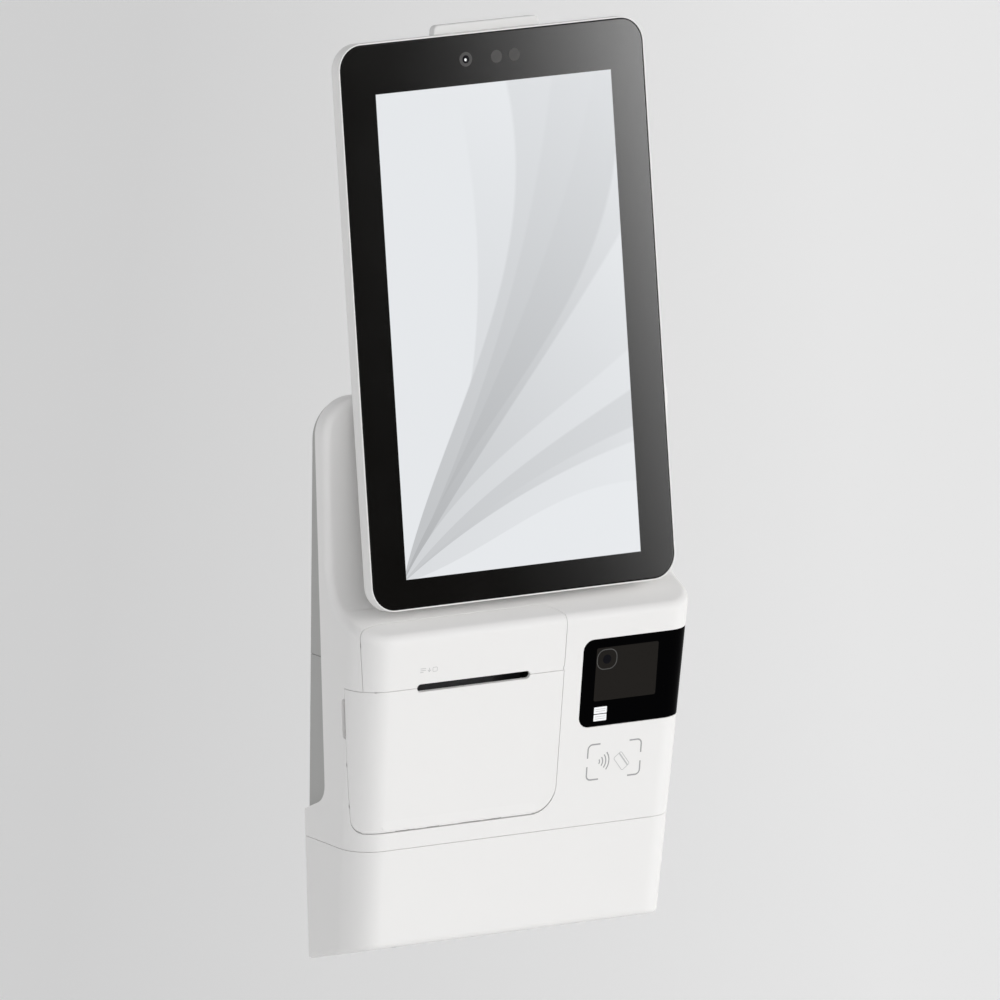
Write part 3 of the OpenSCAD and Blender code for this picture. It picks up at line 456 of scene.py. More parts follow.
def surface(name, colour, rough, metal=0.0, grain=900.0, grain_depth=0.1, vary=0.03, wear=0.06,
            wear_colour=None, rough_vary=0.08, brushed=None, **shader):
    """Colour and roughness that vary a little, fine grain in the bump, and edges worn smoother."""
    mat = bpy.data.materials.new(name)
    mat.use_nodes = True
    tree = mat.node_tree
    bsdf = tree.nodes["Principled BSDF"]
    coords = node(tree, "TexCoord").outputs["Object"]
    if brushed:
        coords = node(tree, "Mapping", inputs={"Vector": coords, "Scale": brushed}).outputs[0]
    cloud = node(tree, "TexNoise", inputs={"Vector": coords, "Scale": 14.0, "Detail": 5.0,
                                           "Roughness": 0.6}).outputs["Fac"]
    fine = node(tree, "TexNoise", inputs={"Vector": coords, "Scale": grain, "Detail": 2.0,
                                          "Roughness": 0.5}).outputs["Fac"]
    edge = ramp(tree, node(tree, "NewGeometry").outputs["Pointiness"], 0.515, 0.56, 0.0, 1.0)
    dark = tuple(c * (1 - vary) for c in colour[:3]) + (1.0,)
    pale = tuple(min(1.0, c * (1 + vary)) for c in colour[:3]) + (1.0,)
    mixed = node(tree, "Mix", data_type="RGBA", inputs={0: cloud, 6: dark, 7: pale}).outputs[2]
    worn = tuple(wear_colour or [min(1.0, c * 1.15 + 0.03) for c in colour[:3]]) + (1.0,)
    amount = math_node(tree, "MULTIPLY", edge, wear)
    final = node(tree, "Mix", data_type="RGBA", inputs={0: amount, 6: mixed, 7: worn}).outputs[2]
    tree.links.new(final, bsdf.inputs["Base Color"])
    low = ramp(tree, cloud, 0.3, 0.7, rough * (1 - rough_vary), rough * (1 + rough_vary))
    spread = ramp(tree, fine, 0.3, 0.7, -0.02, 0.02)
    smooth = math_node(tree, "SUBTRACT", math_node(tree, "ADD", low, spread),
                       math_node(tree, "MULTIPLY", edge, 0.08), clamp=True)
    tree.links.new(smooth, bsdf.inputs["Roughness"])
    bump = node(tree, "Bump", inputs={"Height": fine, "Strength": grain_depth,
                                      "Distance": 0.00005})
    tree.links.new(bump.outputs[0], bsdf.inputs["Normal"])
    bsdf.inputs["Metallic"].default_value = metal
    for key, val in shader.items():
        bsdf.inputs[key.replace("_", " ")].default_value = val
    return mat


WHITE = surface("white_plastic", (0.82, 0.815, 0.805), 0.5, grain=1500, grain_depth=0.12, vary=0.01,
                Specular_IOR_Level=0.08)
GREY = surface("grey_plastic", (0.41, 0.41, 0.40), 0.5, grain=1300, grain_depth=0.2, vary=0.02)
MATERIALS = {
    "white_plastic": WHITE,
    "grey_plastic": GREY,
    "dark_plastic": surface("dark_plastic", (0.03, 0.03, 0.032), 0.5, grain_depth=0.25),
    "black_gloss": surface("black_gloss", (0.0012, 0.0012, 0.0014), 0.1, grain_depth=0.01,
                           wear=0.02, Specular_IOR_Level=0.003),
    "black_glass": surface("black_glass", (0.0028, 0.0025, 0.0021), 0.16, grain_depth=0.008,
                           Specular_IOR_Level=0.08),
    "lcd": surface("lcd", (0.5, 0.55, 0.58), 0.3, grain_depth=0.02),
    "light_plastic": surface("light_plastic", (0.72, 0.72, 0.71), 0.5, grain_depth=0.06,
                             vary=0.01, Specular_IOR_Level=0.03),
    "black_steel": surface("black_steel", (0.03, 0.03, 0.032), 0.45, grain=700, grain_depth=0.35,
                           wear=0.3),
    "bright_steel": surface("bright_steel", (0.55, 0.56, 0.58), 0.34, metal=1.0, grain=240,
                            grain_depth=0.1, brushed=(1.0, 9.0, 1.0)),
    "cast_aluminium": surface("cast_aluminium", (0.62, 0.62, 0.63), 0.42, metal=1.0, grain=500),
    "circuit_board": surface("circuit_board", (0.012, 0.11, 0.045), 0.35, grain=260, vary=0.2),
    "brass": surface("brass", (0.62, 0.43, 0.16), 0.3, metal=1.0, grain=400),
    "ceramic": surface("ceramic", (0.08, 0.085, 0.1), 0.2, grain_depth=0.03),
    "gear_plastic": surface("gear_plastic", (0.72, 0.69, 0.6), 0.4, grain_depth=0.05),
    "rubber": surface("rubber", (0.02, 0.02, 0.022), 0.7, grain=1100, grain_depth=0.4),
    "paper": surface("paper", (0.82, 0.82, 0.8), 0.75, grain=700, grain_depth=0.2,
                     brushed=(1.0, 8.0, 8.0)),
    "board_tube": surface("board_tube", (0.33, 0.23, 0.13), 0.8, grain=300, grain_depth=0.4),
}
for name, ob in NODES.items():
    ob.data.materials.clear()
    ob.data.materials.append(MATERIALS[SLOTS[name]])

INK = surface("printed_ink", (0.33, 0.33, 0.33), 0.5, grain=2000, grain_depth=0.05, vary=0.05)
INK_PALE = surface("printed_ink_pale", (0.5, 0.5, 0.5), 0.5, grain=2000, grain_depth=0.05)
DISPLAY_GREY = surface("scanner_screen", (0.0155, 0.014, 0.0125), 0.22, grain_depth=0.01, wear=0.02,
                       Specular_IOR_Level=0.01)
LENS = surface("lens_dark", (0.004, 0.004, 0.006), 0.12, grain_depth=0.005, Specular_IOR_Level=0.02)
RING = surface("lens_ring", (0.085, 0.084, 0.082), 0.4, grain_depth=0.02,
               Specular_IOR_Level=0.01)
# Glowing white for the real lamps behind the scanner window, also used for the painted highlight on
# the camera lens
LAMP_AND_GLINT = surface("lamp_and_glint_white", (0.75, 0.76, 0.77), 0.35, grain_depth=0.05, Emission_Strength=0.15,
               Emission_Color=(1, 1, 1, 1))

# ---------------------------------------------------------------- cabinet covers
skin_v, skin_t, areas = cabinet_areas()


COVERS = [("main_cover", "main", "main_shell", "cabinet"),
          ("hood_cover", "hood", "printer_hood", "cabinet"),
          ("door_cover", "door", "printer_door", "printer_door"),
          ("lower_trim", "lower", "lower_cover", "cabinet"),
          ("scanner_glass", "window", "scanner_window", "cabinet")]
for name, area, stands_for, body in COVERS:
    slot_name = SLOTS[stands_for]
    ob = cover(name, skin_v, skin_t[areas[area]], MATERIALS[slot_name])
    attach(ob, body)
    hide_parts(stands_for)


def bevelled(ob, width, angle=35, segments=3):
    mod = ob.modifiers.new("edges", "BEVEL")
    mod.width = width * MM
    mod.segments = segments
    mod.limit_method = "ANGLE"
    mod.angle_limit = math.radians(angle)
    mod.harden_normals = True
    return ob


def prism(name, outline, place, depth, material, body, bevel=0.3):
    """An outline run to a depth; place(a, b, c) says where a point of it lies, in millimetres."""
    n = len(outline)
    v = [place(a, b, 0) for a, b in outline] + [place(a, b, depth) for a, b in outline]
    faces = [list(range(n))[::-1], list(range(n, 2 * n))]
    faces += [[i, (i + 1) % n, n + (i + 1) % n, n + i] for i in range(n)]
    ob = new_object(name, v, faces, materials=[material])
    bpy.context.view_layer.objects.active = ob
    me = ob.data
    bm = bmesh.new()
    bm.from_mesh(me)
    bmesh.ops.recalc_face_normals(bm, faces=bm.faces)
    bm.to_mesh(me)
    bm.free()
    if bevel:
        bevelled(ob, bevel)
    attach(ob, body)
    return ob


def arc(cx, cy, r, a, b, n=8):
    return [(cx + r * math.cos(math.radians(a + (b - a) * i / n)),
             cy + r * math.sin(math.radians(a + (b - a) * i / n))) for i in range(n + 1)]


def round_rect(w, h, r, cx=0.0, cy=0.0, n=8):
    x, y = w / 2 - r, h / 2 - r
    out = []
    for sx, sy, a in ((1, 1, 0), (-1, 1, 90), (-1, -1, 180), (1, -1, 270)):
        out += arc(cx + sx * x, cy + sy * y, r, a, a + 90, n)
    return out


# Goose necks that carry the door round the edge of the shell
for i, x in enumerate((-79.5, -17.0)):
    outline = arc(PIVOT_D, PIVOT_Z, 16.8, 72, 178, 20) + arc(PIVOT_D, PIVOT_Z, 2.6, 190, 350, 10)
    outline += arc(PIVOT_D, PIVOT_Z, 2.6, 20, 100, 5) + arc(PIVOT_D, PIVOT_Z, 14.3, 165, 74, 18)
    prism(f"door_neck_{i}", outline, lambda a, b, c: (x + c, -a, b), 4.5, WHITE,
          "printer_door")


# Ledge inside the shell, against which the rear housing sits
def rear_half(z, inset):
    """Half width of the rear housing's outline at height z, moved in by inset."""
    side = REAR_HALF - REAR_TAPER * (z - NOTCH_Z)
    cz = REAR_TOP - REAR_R
    if z <= cz:
        return side - inset
    cx = REAR_HALF - REAR_TAPER * (cz - NOTCH_Z) - REAR_R
    return cx + math.sqrt(max(0.0, (REAR_R - inset) ** 2 - (z - cz) ** 2))


def ledge():
    top = REAR_TOP - 6
    zs = list(np.linspace(-150, 100, 26)) + [100 + (top - 100) * math.sin(math.radians(a))
                                             for a in range(9, 91, 9)]
    zs += [top + 0.01] + [108 + 25.5 * math.sin(math.radians(a)) for a in (45, 60, 75, 88)]
    floor_arc = arc(SHELL_BACK - NOTCH_R, NOTCH_Z + NOTCH_R, NOTCH_R, 293, 338, 8)
    d0, z0 = floor_arc[0]
    rows = [(0.9, z0 - (d0 - 0.9) * math.tan(NOTCH_SLOPE))] + floor_arc
    rows += [(SHELL_BACK, z) for z in zs]
    v, faces = [], []
    for d, z in rows:
        w = half_w(z) - 2.3
        if z > 108:
            w = half_w(z) - 28 + math.sqrt(max(0, 25.7 ** 2 - (z - 108) ** 2))
        inner = min(rear_half(min(z, top), 6), w - 0.5)
        v += [(s, -d, z) for s in (-w, -inner, inner, w)]
    for i in range(len(rows) - 1):
        for k in range(3):
            if k == 1 and -150.5 < rows[i][1] < top and rows[i][0] == SHELL_BACK:
                continue
            a = 4 * i + k
            faces.append([a, a + 1, a + 5, a + 4])
    ob = new_object("shell_ledge", v, faces, materials=[WHITE])
    mod = ob.modifiers.new("thick", "SOLIDIFY")
    mod.thickness = 2.4 * MM
    mod.offset = 1.0
    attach(ob, "cabinet")


ledge()

# Scooped floor of the finger gap behind the door's edge
scoop = []
for z in np.linspace(-107, -74, 18):
    t = abs((z + 90.5) / 16.5)
    depth = 3.2 * math.sqrt(max(0.0, 1 - t ** 4)) + 1.2
    scoop.append([(-half_w(z) + depth * math.sin(math.radians(a)) + 1.2,
                   -(61.2 + 5.6 * math.cos(math.radians(a))), z) for a in range(0, 181, 15)])
rows, cols = len(scoop), len(scoop[0])
scoop_v = [p for row in scoop for p in row]
scoop_f = [[i * cols + j, i * cols + j + 1, (i + 1) * cols + j + 1, (i + 1) * cols + j]
           for i in range(rows - 1) for j in range(cols - 1)]
ob = new_object("finger_scoop", scoop_v, scoop_f, materials=[WHITE])
mod = ob.modifiers.new("thick", "SOLIDIFY")
mod.thickness = 1.2 * MM
mod.offset = 0.0
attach(ob, "cabinet")

# ---------------------------------------------------------------- display
DISPLAY_AXES = Matrix(((1, 0, 0), (0, math.sin(TILT), -math.cos(TILT)),
                       (0, math.cos(TILT), math.sin(TILT))))


def on_display(u, v, w):
    p = DISPLAY_AXES @ Vector((u, v, w))
    return (p.x, p.y - DISPLAY_DEPTH, p.z + DISPLAY_Z)


def ring_points(inset, w, n=14):
    r = max(GLASS_R + 1 - inset, 0.6)
    return [on_display(a, b, w) for a, b in round_rect(GLASS_W + 2 - 2 * inset,
                                                       GLASS_H + 2 - 2 * inset, r, 0, GLASS_V, n)]


def loft(rings, cap=True):
    n = len(rings[0])
    v = [p for r in rings for p in r]
    faces = []
    for k in range(len(rings) - 1):
        for i in range(n):
            j = (i + 1) % n
            faces.append([k * n + i, (k + 1) * n + i, (k + 1) * n + j, k * n + j])
    if cap:
        faces.append([(len(rings) - 1) * n + i for i in range(n)][::-1])
    return v, faces


rim = [(1.02, -1.9), (1.02, -0.35), (0.92, -0.12), (0.72, 0.0), (0.45, -0.02), (0.2, -0.12),
       (0.05, -0.32), (0.0, -0.6), (0.0, -2.0), (0.0, -5.0), (0.0, -8.8)]
rim += [(5 - 5 * math.cos(math.radians(a)), -9 - 5 * math.sin(math.radians(a)))
        for a in range(0, 91, 9)]
rim += [(5.6, -14.0), (9.0, -14.0), (40.0, -14.0), (90.0, -14.0)]
v, f = loft([ring_points(o, w) for o, w in rim])
case = new_object("display_case", v, f, materials=[WHITE])
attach(case, "display")
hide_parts("display_housing")


# The picture: soft pale ribbons that fan out of the lower left corner.
# TO BE REPLACED before the part is used: the list RIBBONS was not designed. It was fitted by a
# scratch script to an existing wallpaper, so it is not a generic picture.
FAN_LEFT, FAN_BELOW = 3, 2          # where the ribbons start, outside the screen's corner, in mm
NEAR_R, FAR_R = 80, 320             # distances from there at which the two tones hold, in mm
SKY_TONE = 231                      # tone above the first ribbon, 0 to 255
# Ribbons from the top down: upper edge's angle, its change with distance and with the
# square of distance, then the tone near the corner and the tone far from it
RIBBONS = [(50.8, 0.096, -4.8e-5, 212, 229), (70.8, -0.077, 2.24e-4, 198, 218),
           (57.1, 0.020, 1.6e-5, 190, 214), (57.5, -0.007, 4.8e-5, 184, 212),
           (63.0, -0.112, 2.61e-4, 188, 223), (52.9, -0.029, 5.9e-5, 204, 232),
           (56.7, -0.147, 2.67e-4, 215, 234), (44.0, -0.086, 1.26e-4, 204, 222),
           (35.7, -0.054, 2.1e-5, 204, 238), (32.8, -0.049, 0.0, 223, 236),
           (8.7, 0.155, -6.1e-4, 232, 234)]


def picture_material():
    mat = bpy.data.materials.new("screen_picture")
    mat.use_nodes = True
    tree = mat.node_tree
    bsdf = tree.nodes["Principled BSDF"]
    coords = node(tree, "TexCoord").outputs["Object"]
    centre = Vector((0, -DISPLAY_DEPTH, DISPLAY_Z)) * MM
    up = DISPLAY_AXES.col[1]
    moved = node(tree, "VectorMath", operation="SUBTRACT", inputs={0: coords, 1: centre}).outputs[0]
    flat_v = node(tree, "VectorMath", operation="DOT_PRODUCT", inputs={0: moved, 1: up})
    v = math_node(tree, "MULTIPLY", flat_v.outputs["Value"], 1000)
    u = math_node(tree, "MULTIPLY", node(tree, "SeparateXYZ", inputs={0: moved}).outputs[0], 1000)
    du = math_node(tree, "ADD", u, SCREEN_W / 2 + FAN_LEFT)
    dv = math_node(tree, "ADD", v, SCREEN_H / 2 + FAN_BELOW)
    r2 = math_node(tree, "ADD", math_node(tree, "MULTIPLY", du, du),
                   math_node(tree, "MULTIPLY", dv, dv))
    r = math_node(tree, "SQRT", r2)
    angle = math_node(tree, "MULTIPLY", math_node(tree, "ARCTAN2", dv, du), 180 / math.pi)
    tone = node(tree, "Value").outputs[0]
    tone.default_value = SKY_TONE
    for start, slope, bend, near, far in RIBBONS:
        line = math_node(tree, "MULTIPLY_ADD", r, slope, start)
        line = math_node(tree, "MULTIPLY_ADD", r2, bend, line)
        below = ramp(tree, math_node(tree, "SUBTRACT", line, angle), -0.25, 0.25, 0.0, 1.0)
        here = node(tree, "MapRange", clamp=False, inputs={
            "Value": r, "From Min": NEAR_R, "From Max": FAR_R,
            "To Min": near, "To Max": far}).outputs[0]
        tone = math_node(tree, "MULTIPLY_ADD", math_node(tree, "SUBTRACT", here, tone), below, tone)
    shade = math_node(tree, "POWER", math_node(tree, "DIVIDE", tone, 255), 2.2)
    tint = node(tree, "CombineColor", inputs={
        0: math_node(tree, "MULTIPLY", shade, 0.975), 1: math_node(tree, "MULTIPLY", shade, 0.998),
        2: math_node(tree, "MULTIPLY", shade, 1.025)}).outputs[0]
    dark = node(tree, "Mix", data_type="RGBA", blend_type="MULTIPLY",
                inputs={0: 1.0, 6: tint, 7: (0.02, 0.02, 0.02, 1)}).outputs[2]
    tree.links.new(dark, bsdf.inputs["Base Color"])
    tree.links.new(tint, bsdf.inputs["Emission Color"])
    bsdf.inputs["Emission Strength"].default_value = 0.985
    bsdf.inputs["Specular IOR Level"].default_value = 0.01
    fine = node(tree, "TexNoise", inputs={"Vector": coords, "Scale": 900.0}).outputs["Fac"]
    tree.links.new(ramp(tree, fine, 0.3, 0.7, 0.15, 0.19), bsdf.inputs["Roughness"])
    bump = node(tree, "Bump", inputs={"Height": fine, "Strength": 0.008, "Distance": 0.00005})
    tree.links.new(bump.outputs[0], bsdf.inputs["Normal"])
    return mat


PICTURE = picture_material()
GLASS = MATERIALS["black_glass"]
rings = [ring_points(inset, w) for inset, w in ((1.1, -2.0), (1.1, -0.45), (1.2, -0.25),
                                                (1.4, -0.1), (1.75, -0.02), (2.4, 0.0))]
v, f = loft(rings, cap=False)
n = len(rings[0])
inner = [(len(rings) - 1) * n + i for i in range(n)]
# border from the last ring to the picture's edge, with the picture's corners on the ring's corners
corner = [(SCREEN_W / 2, SCREEN_H / 2), (-SCREEN_W / 2, SCREEN_H / 2),
          (-SCREEN_W / 2, -SCREEN_H / 2), (SCREEN_W / 2, -SCREEN_H / 2)]
first = len(v)
v += [on_display(a, b, 0.0) for a, b in corner]
per = n // 4
for k in range(4):
    ids = inner[k * per:(k + 1) * per]
    for a, b in zip(ids, ids[1:]):
        f.append([a, first + k, b])
    f.append([ids[-1], first + k, first + (k + 1) % 4, inner[((k + 1) % 4) * per]])
f.append([first, first + 1, first + 2, first + 3])
f.append(list(range(n))[::-1])
index = [0] * len(f)
index[-2] = 1


def finish_mesh(ob):
    bm = bmesh.new()
    bm.from_mesh(ob.data)
    bmesh.ops.recalc_face_normals(bm, faces=bm.faces)
    bm.to_mesh(ob.data)
    bm.free()


glass = new_object("front_glass", v, f, materials=[GLASS, PICTURE], indices=index)
finish_mesh(glass)
mod = glass.modifiers.new("flat", "WEIGHTED_NORMAL")
mod.keep_sharp = True
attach(glass, "display")
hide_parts("cover_glass")
finish_mesh(case)
case.modifiers.new("flat", "WEIGHTED_NORMAL")


def disc(name, rings_rw, u, v0, material, body="display"):
    """A turned disc on the glass from (radius, height) pairs, outermost first."""
    n = 48
    turns = [2 * math.pi * i / n for i in range(n)]
    rings = [[on_display(u + r * math.cos(t), v0 + r * math.sin(t), w) for t in turns]
             for r, w in rings_rw]
    v, f = loft(rings)
    ob = new_object(name, v, f, materials=[material])
    finish_mesh(ob)
    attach(ob, body)
    return ob


disc("camera_ring", [(5.2, -0.1), (5.2, 0.03), (5.0, 0.06), (3.0, 0.06), (2.8, 0.03), (2.8, -0.1)],
     -21.6, 190.2, RING)
disc("camera_lens", [(2.8, -0.1), (2.8, 0.02), (1.6, 0.05), (0.5, 0.06)], -21.6, 190.2, LENS)
# Painted highlight: a small glowing white dot on the lens, standing in for its glint
disc("camera_glint", [(1.0, 0.0), (1.0, 0.08), (0.8, 0.1), (0.3, 0.11)], -21.9, 189.9, LAMP_AND_GLINT)
for i, u in enumerate((3.6, 18.3)):
    disc(f"sensor_{i}", [(4.6, -0.1), (4.6, 0.02), (4.4, 0.05), (2.0, 0.05)], u, 190.0, RING)

# Status light along the top edge
light_top = GLASS_V + GLASS_H / 2 + 1
outline = [(-44, light_top - 0.4)] + arc(-39, light_top + 2.5, 4.4, 180, 95, 8)
outline += arc(39, light_top + 2.5, 4.4, 85, 0, 8) + [(44, light_top - 0.4)]
prism("status_bar", outline, lambda a, b, c: on_display(a, b, -12 + c), 7.0,
      MATERIALS["light_plastic"], "display", bevel=1.2)
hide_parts("status_light")


# ---------------------------------------------------------------- marks on the front
def front_place(x, z, h):
    return (x, -(front_d(z) + h / LEAN_COS), z)


def ribbon(line, width, closed=False):
    """A flat strip of even width along a line of points."""
    p = np.array(line, float)
    if closed:
        d = np.roll(p, -1, 0) - np.roll(p, 1, 0)
    else:
        d = np.gradient(p, axis=0)
    d = unit(d)
    side = np.c_[-d[:, 1], d[:, 0]] * width / 2
    left, right = p + side, p - side
    n = len(p)
    quads = [[i, (i + 1) % n, n + (i + 1) % n, n + i] for i in range(n if closed else n - 1)]
    return np.concatenate([left, right]), quads


def mark(name, strips, material, h=0.02, thick=0.06, body="cabinet"):
    """Raised print on the front: strips of quads and filled outlines."""
    v, f = [], []
    for points, quads in strips:
        base = len(v)
        m = len(points)
        v += [front_place(a, b, h - thick) for a, b in points]
        v += [front_place(a, b, h) for a, b in points]
        edges = {}
        for q in quads:
            f.append([base + m + i for i in q])
            f.append([base + i for i in q][::-1])
            for a, b in zip(q, q[1:] + q[:1]):
                edges[(a, b)] = True
        for a, b in edges:
            if (b, a) not in edges:
                f.append([base + a, base + b, base + m + b, base + m + a])
    ob = new_object(name, v, f, materials=[material])
    finish_mesh(ob)
    for poly in ob.data.polygons:
        poly.use_smooth = False
    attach(ob, body)
    return ob


def filled(outline):
    return np.array(outline, float), [list(range(len(outline)))]


# Card reader: four corner brackets, radio arcs and a card
strips = []
x0, x1, z0, z1, arm, r = 53.4, 97.6, -153.3, -127.0, 6.5, 3.5
for sx, cx in ((-1, x0 + r), (1, x1 - r)):
    for sz, cz in ((-1, z0 + r), (1, z1 - r)):
        turns = [math.radians(t) for t in range(0, 91, 10)]
        corner_arc = [(cx + sx * r * math.cos(t), cz + sz * r * math.sin(t)) for t in turns]
        line = [(cx + sx * r, cz - sz * arm)] + corner_arc + [(cx - sx * arm, cz + sz * r)]
        strips.append(ribbon(line, 1.1))
mark("reader_brackets", strips, INK)
strips = [ribbon([(61.0 + rr * math.cos(math.radians(t)), -140.3 + rr * math.sin(math.radians(t)))
                  for t in np.linspace(-38, 38, 14)], 0.9) for rr in (2.6, 5.2, 7.8, 10.4)]
mark("reader_waves", strips, INK)
turn = math.radians(38)
card = [(82.0 + a * math.cos(turn) - b * math.sin(turn), -141.8 + a * math.sin(turn)
         + b * math.cos(turn)) for a, b in round_rect(7.5, 12.5, 1.2, 0, 0, 5)]
stripe = [(82.0 + a * math.cos(turn) - b * math.sin(turn), -141.8 + a * math.sin(turn)
           + b * math.cos(turn)) for a, b in ((1.9, -6.0), (1.9, 6.0))]
mark("reader_card", [ribbon(card, 0.5, True), ribbon([stripe[0], stripe[1]], 1.1)], INK_PALE)
# Small receipt sign above the slot
strips = [ribbon([(-91.0, -53.8), (-86.5, -53.8)], 0.45),
          ribbon([(-91.0, -55.2), (-86.5, -55.2)], 0.45),
          ribbon([(-91.0, -56.5), (-88.4, -56.5)], 0.45),
          ribbon([(-83.6, -53.7), (-83.6, -56.3)], 0.5),
          ribbon([(-84.9, -55.2), (-83.6, -56.6), (-82.3, -55.2)], 0.5),
          ribbon(round_rect(3.6, 3.0, 0.6, -78.9, -55.2, 3), 0.4, True)]
mark("receipt_sign", strips, INK_PALE)
# Behind the scanner window: display, camera and lamps
mark("scan_screen", [filled(round_rect(51.2, 39.6, 1.4, 80.6, -74.8, 5))], DISPLAY_GREY,
     h=0.03)
mark("scan_camera_ring", [ribbon(round_rect(16.2, 14.6, 6.2, 63.9, -63.9, 8), 0.7, True)], RING,
     h=0.06)
mark("scan_camera_lens", [filled(arc(63.9, -63.9, 3.4, 0, 350, 35))], LENS, h=0.07)
blocks = [filled(round_rect(10.6, 4.9, 0.5, 61.3, z, 4)) for z in (-101.6, -107.1)]
mark("scan_lamps", blocks, LAMP_AND_GLINT, h=0.05)
strips = [ribbon([(57.2, z), (65.4, z)], 0.35) for z in (-100.8, -102.3, -106.3, -107.9)]
mark("scan_lamp_lines", strips, INK_PALE, h=0.07)

# ---------------------------------------------------------------- stage, light and camera
BACKDROP = surface("floor", (0.92, 0.92, 0.915), 0.9, grain=40, grain_depth=0.02, vary=0.004,
                   wear=0.0)
tree = BACKDROP.node_tree
paint = tree.nodes["Principled BSDF"].inputs["Base Color"]
# Painted shade: the floor's colour darkens towards the left of the view, and the floor glows with
# that same shaded tone
across = node(tree, "VectorMath", operation="DOT_PRODUCT", inputs={
    0: node(tree, "TexCoord").outputs["Object"], 1: (0.857, -0.515, 0.0)}).outputs["Value"]
painted_shade_ramp = ramp(tree, across, -0.35, 0.35, 0.78, 1.0)
shaded = node(tree, "Mix", data_type="RGBA", blend_type="MULTIPLY", inputs={
    0: 1.0, 6: paint.links[0].from_socket,
    7: node(tree, "CombineColor", inputs={0: painted_shade_ramp, 1: painted_shade_ramp, 2: painted_shade_ramp}).outputs[0]}).outputs[2]
tree.links.new(shaded, paint)
tree.links.new(shaded, tree.nodes["Principled BSDF"].inputs["Emission Color"])
tree.nodes["Principled BSDF"].inputs["Emission Strength"].default_value = 0.26
FLOOR_Z, FLOOR_HALF = -900, 60000
corners = [(a * FLOOR_HALF, b * FLOOR_HALF, FLOOR_Z)
           for a, b in ((-1, -1), (1, -1), (1, 1), (-1, 1))]
floor = new_object("floor", corners, [[0, 1, 2, 3]], materials=[BACKDROP])

world = bpy.data.worlds.new("studio")
bpy.context.scene.world = world
world.use_nodes = True
sky = world.node_tree
sky.nodes["Background"].inputs[0].default_value = (0.985, 0.985, 1.0, 1)
height = node(sky, "SeparateXYZ", inputs={0: node(sky, "TexCoord").outputs["Generated"]}).outputs[2]
sky.links.new(ramp(sky, height, 0.0, 1.0, 0.85, 0.25), sky.nodes["Background"].inputs[1])


def sun_light(name, toward, strength, angle, colour=(1, 1, 1)):
    data = bpy.data.lights.new(name, "SUN")
    data.energy = strength
    data.angle = math.radians(angle)
    data.color = colour
    ob = bpy.data.objects.new(name, data)
    bpy.context.scene.collection.objects.link(ob)
    ob.rotation_euler = Vector(toward).to_track_quat("Z", "Y").to_euler()
    return ob


sun_light("key", (0.72, -0.66, 0.2), 1.68, 50, (1.0, 0.993, 0.982))
sun_light("fill", (-0.60, -0.80, -0.1), 0.72, 60, (0.99, 0.993, 1.0))
sun_light("rear", (0.2, 0.85, -0.1), 0.4, 60)
sun_light("side", (-1.0, -0.2, 0.0), 0.17, 60)


# A card that only shiny surfaces see, for the soft gradient over the glass
CARD_LEFT, CARD_RIGHT, CARD_HALF = -0.2, 0.19, 0.3      # its edges and half height, in metres
CARD_AWAY = 1.0                                         # distance from the screen, in metres
CARD_DARK, CARD_BRIGHT, CARD_SLANT = -0.05, 0.23, 0.14  # where its glow starts and ends
CARD_POWER, CARD_STRENGTH = 3.0, 114.0


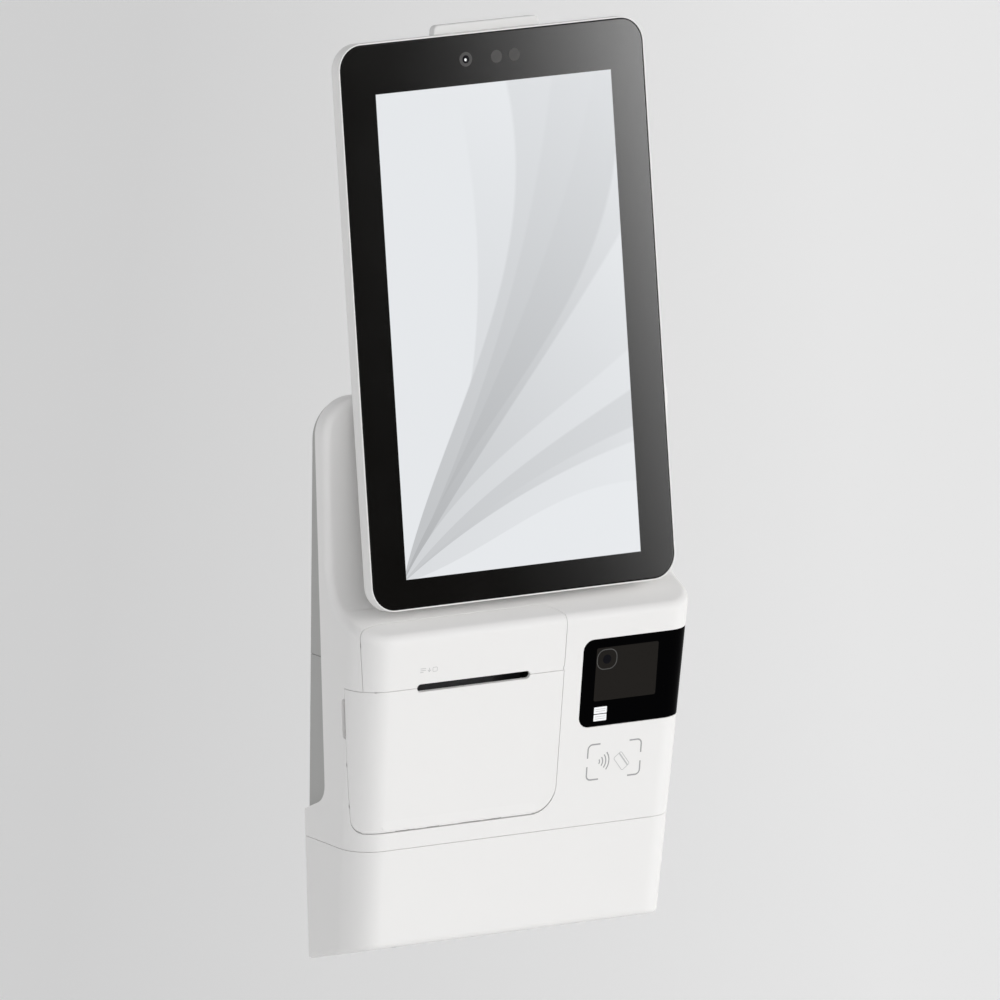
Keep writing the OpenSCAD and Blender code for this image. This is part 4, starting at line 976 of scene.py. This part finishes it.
def reflection_card():
    mat = bpy.data.materials.new("card_glow")
    mat.use_nodes = True
    tree = mat.node_tree
    tree.nodes.clear()
    coords = node(tree, "TexCoord").outputs["Object"]
    split = node(tree, "SeparateXYZ", inputs={0: coords}).outputs
    slant = math_node(tree, "MULTIPLY", split[1], CARD_SLANT)
    level = math_node(tree, "ADD", split[0], slant)
    glow = math_node(tree, "POWER", ramp(tree, level, CARD_DARK, CARD_BRIGHT, 0.0, 1.0), CARD_POWER)
    strength = math_node(tree, "MULTIPLY", glow, CARD_STRENGTH)
    shine = node(tree, "Emission", inputs={"Strength": strength})
    out = node(tree, "OutputMaterial")
    tree.links.new(shine.outputs[0], out.inputs[0])
    me = bpy.data.meshes.new("card")
    x0, x1, h = CARD_LEFT, CARD_RIGHT, CARD_HALF
    me.from_pydata([(x0, -h, 0), (x1, -h, 0), (x1, h, 0), (x0, h, 0)], [], [(0, 1, 2, 3)])
    me.materials.append(mat)
    ob = bpy.data.objects.new("card", me)
    bpy.context.scene.collection.objects.link(ob)
    centre = Vector((0, -DISPLAY_DEPTH * MM, DISPLAY_Z * MM))
    away = Vector((0.505, -0.863, 0.021)).normalized()
    right = Vector((0, 0, 1)).cross(away).normalized()
    up = away.cross(right)
    rows = Matrix((right, up, away)).transposed().to_4x4()
    rows.translation = centre + away * CARD_AWAY
    ob.matrix_world = rows
    ob.visible_camera = False
    ob.visible_diffuse = False
    ob.visible_shadow = False


reflection_card()

# Camera: its direction, the lens length on a 36 mm sensor, and how far its aim lies off the target
azimuth, elevation, roll = math.radians(30.9856), math.radians(11.4305), math.radians(0.1948)
SENSOR_MM, LENS_MM = 36, 712.692
DISTANCE = 14.0055                            # metres from the target
TARGET = Vector((0, -0.06, 0.18))             # a point behind the middle of the screen
AIM_RIGHT, AIM_UP = 0.00053907, 0.0088555     # aim off the target, as tangents
look = Vector((math.sin(azimuth) * math.cos(elevation), math.cos(azimuth) * math.cos(elevation),
               -math.sin(elevation)))
right = Vector((math.cos(azimuth), -math.sin(azimuth), 0))
up = right.cross(look)
right, up = (right * math.cos(roll) + up * math.sin(roll),
             up * math.cos(roll) - right * math.sin(roll))
eye = TARGET - look * DISTANCE
aim = (look - right * AIM_RIGHT - up * AIM_UP).normalized()
side = (right - aim * right.dot(aim)).normalized()
cam_data = bpy.data.cameras.new("camera")
cam_data.sensor_width = SENSOR_MM
cam_data.lens = LENS_MM
cam_data.clip_start = 0.5
cam_data.clip_end = 200
cam = bpy.data.objects.new("camera", cam_data)
bpy.context.scene.collection.objects.link(cam)
axes = Matrix((side, side.cross(aim), -aim)).transposed().to_4x4()
axes.translation = eye
cam.matrix_world = axes
bpy.context.scene.camera = cam

bpy.context.scene.view_settings.view_transform = "Standard"
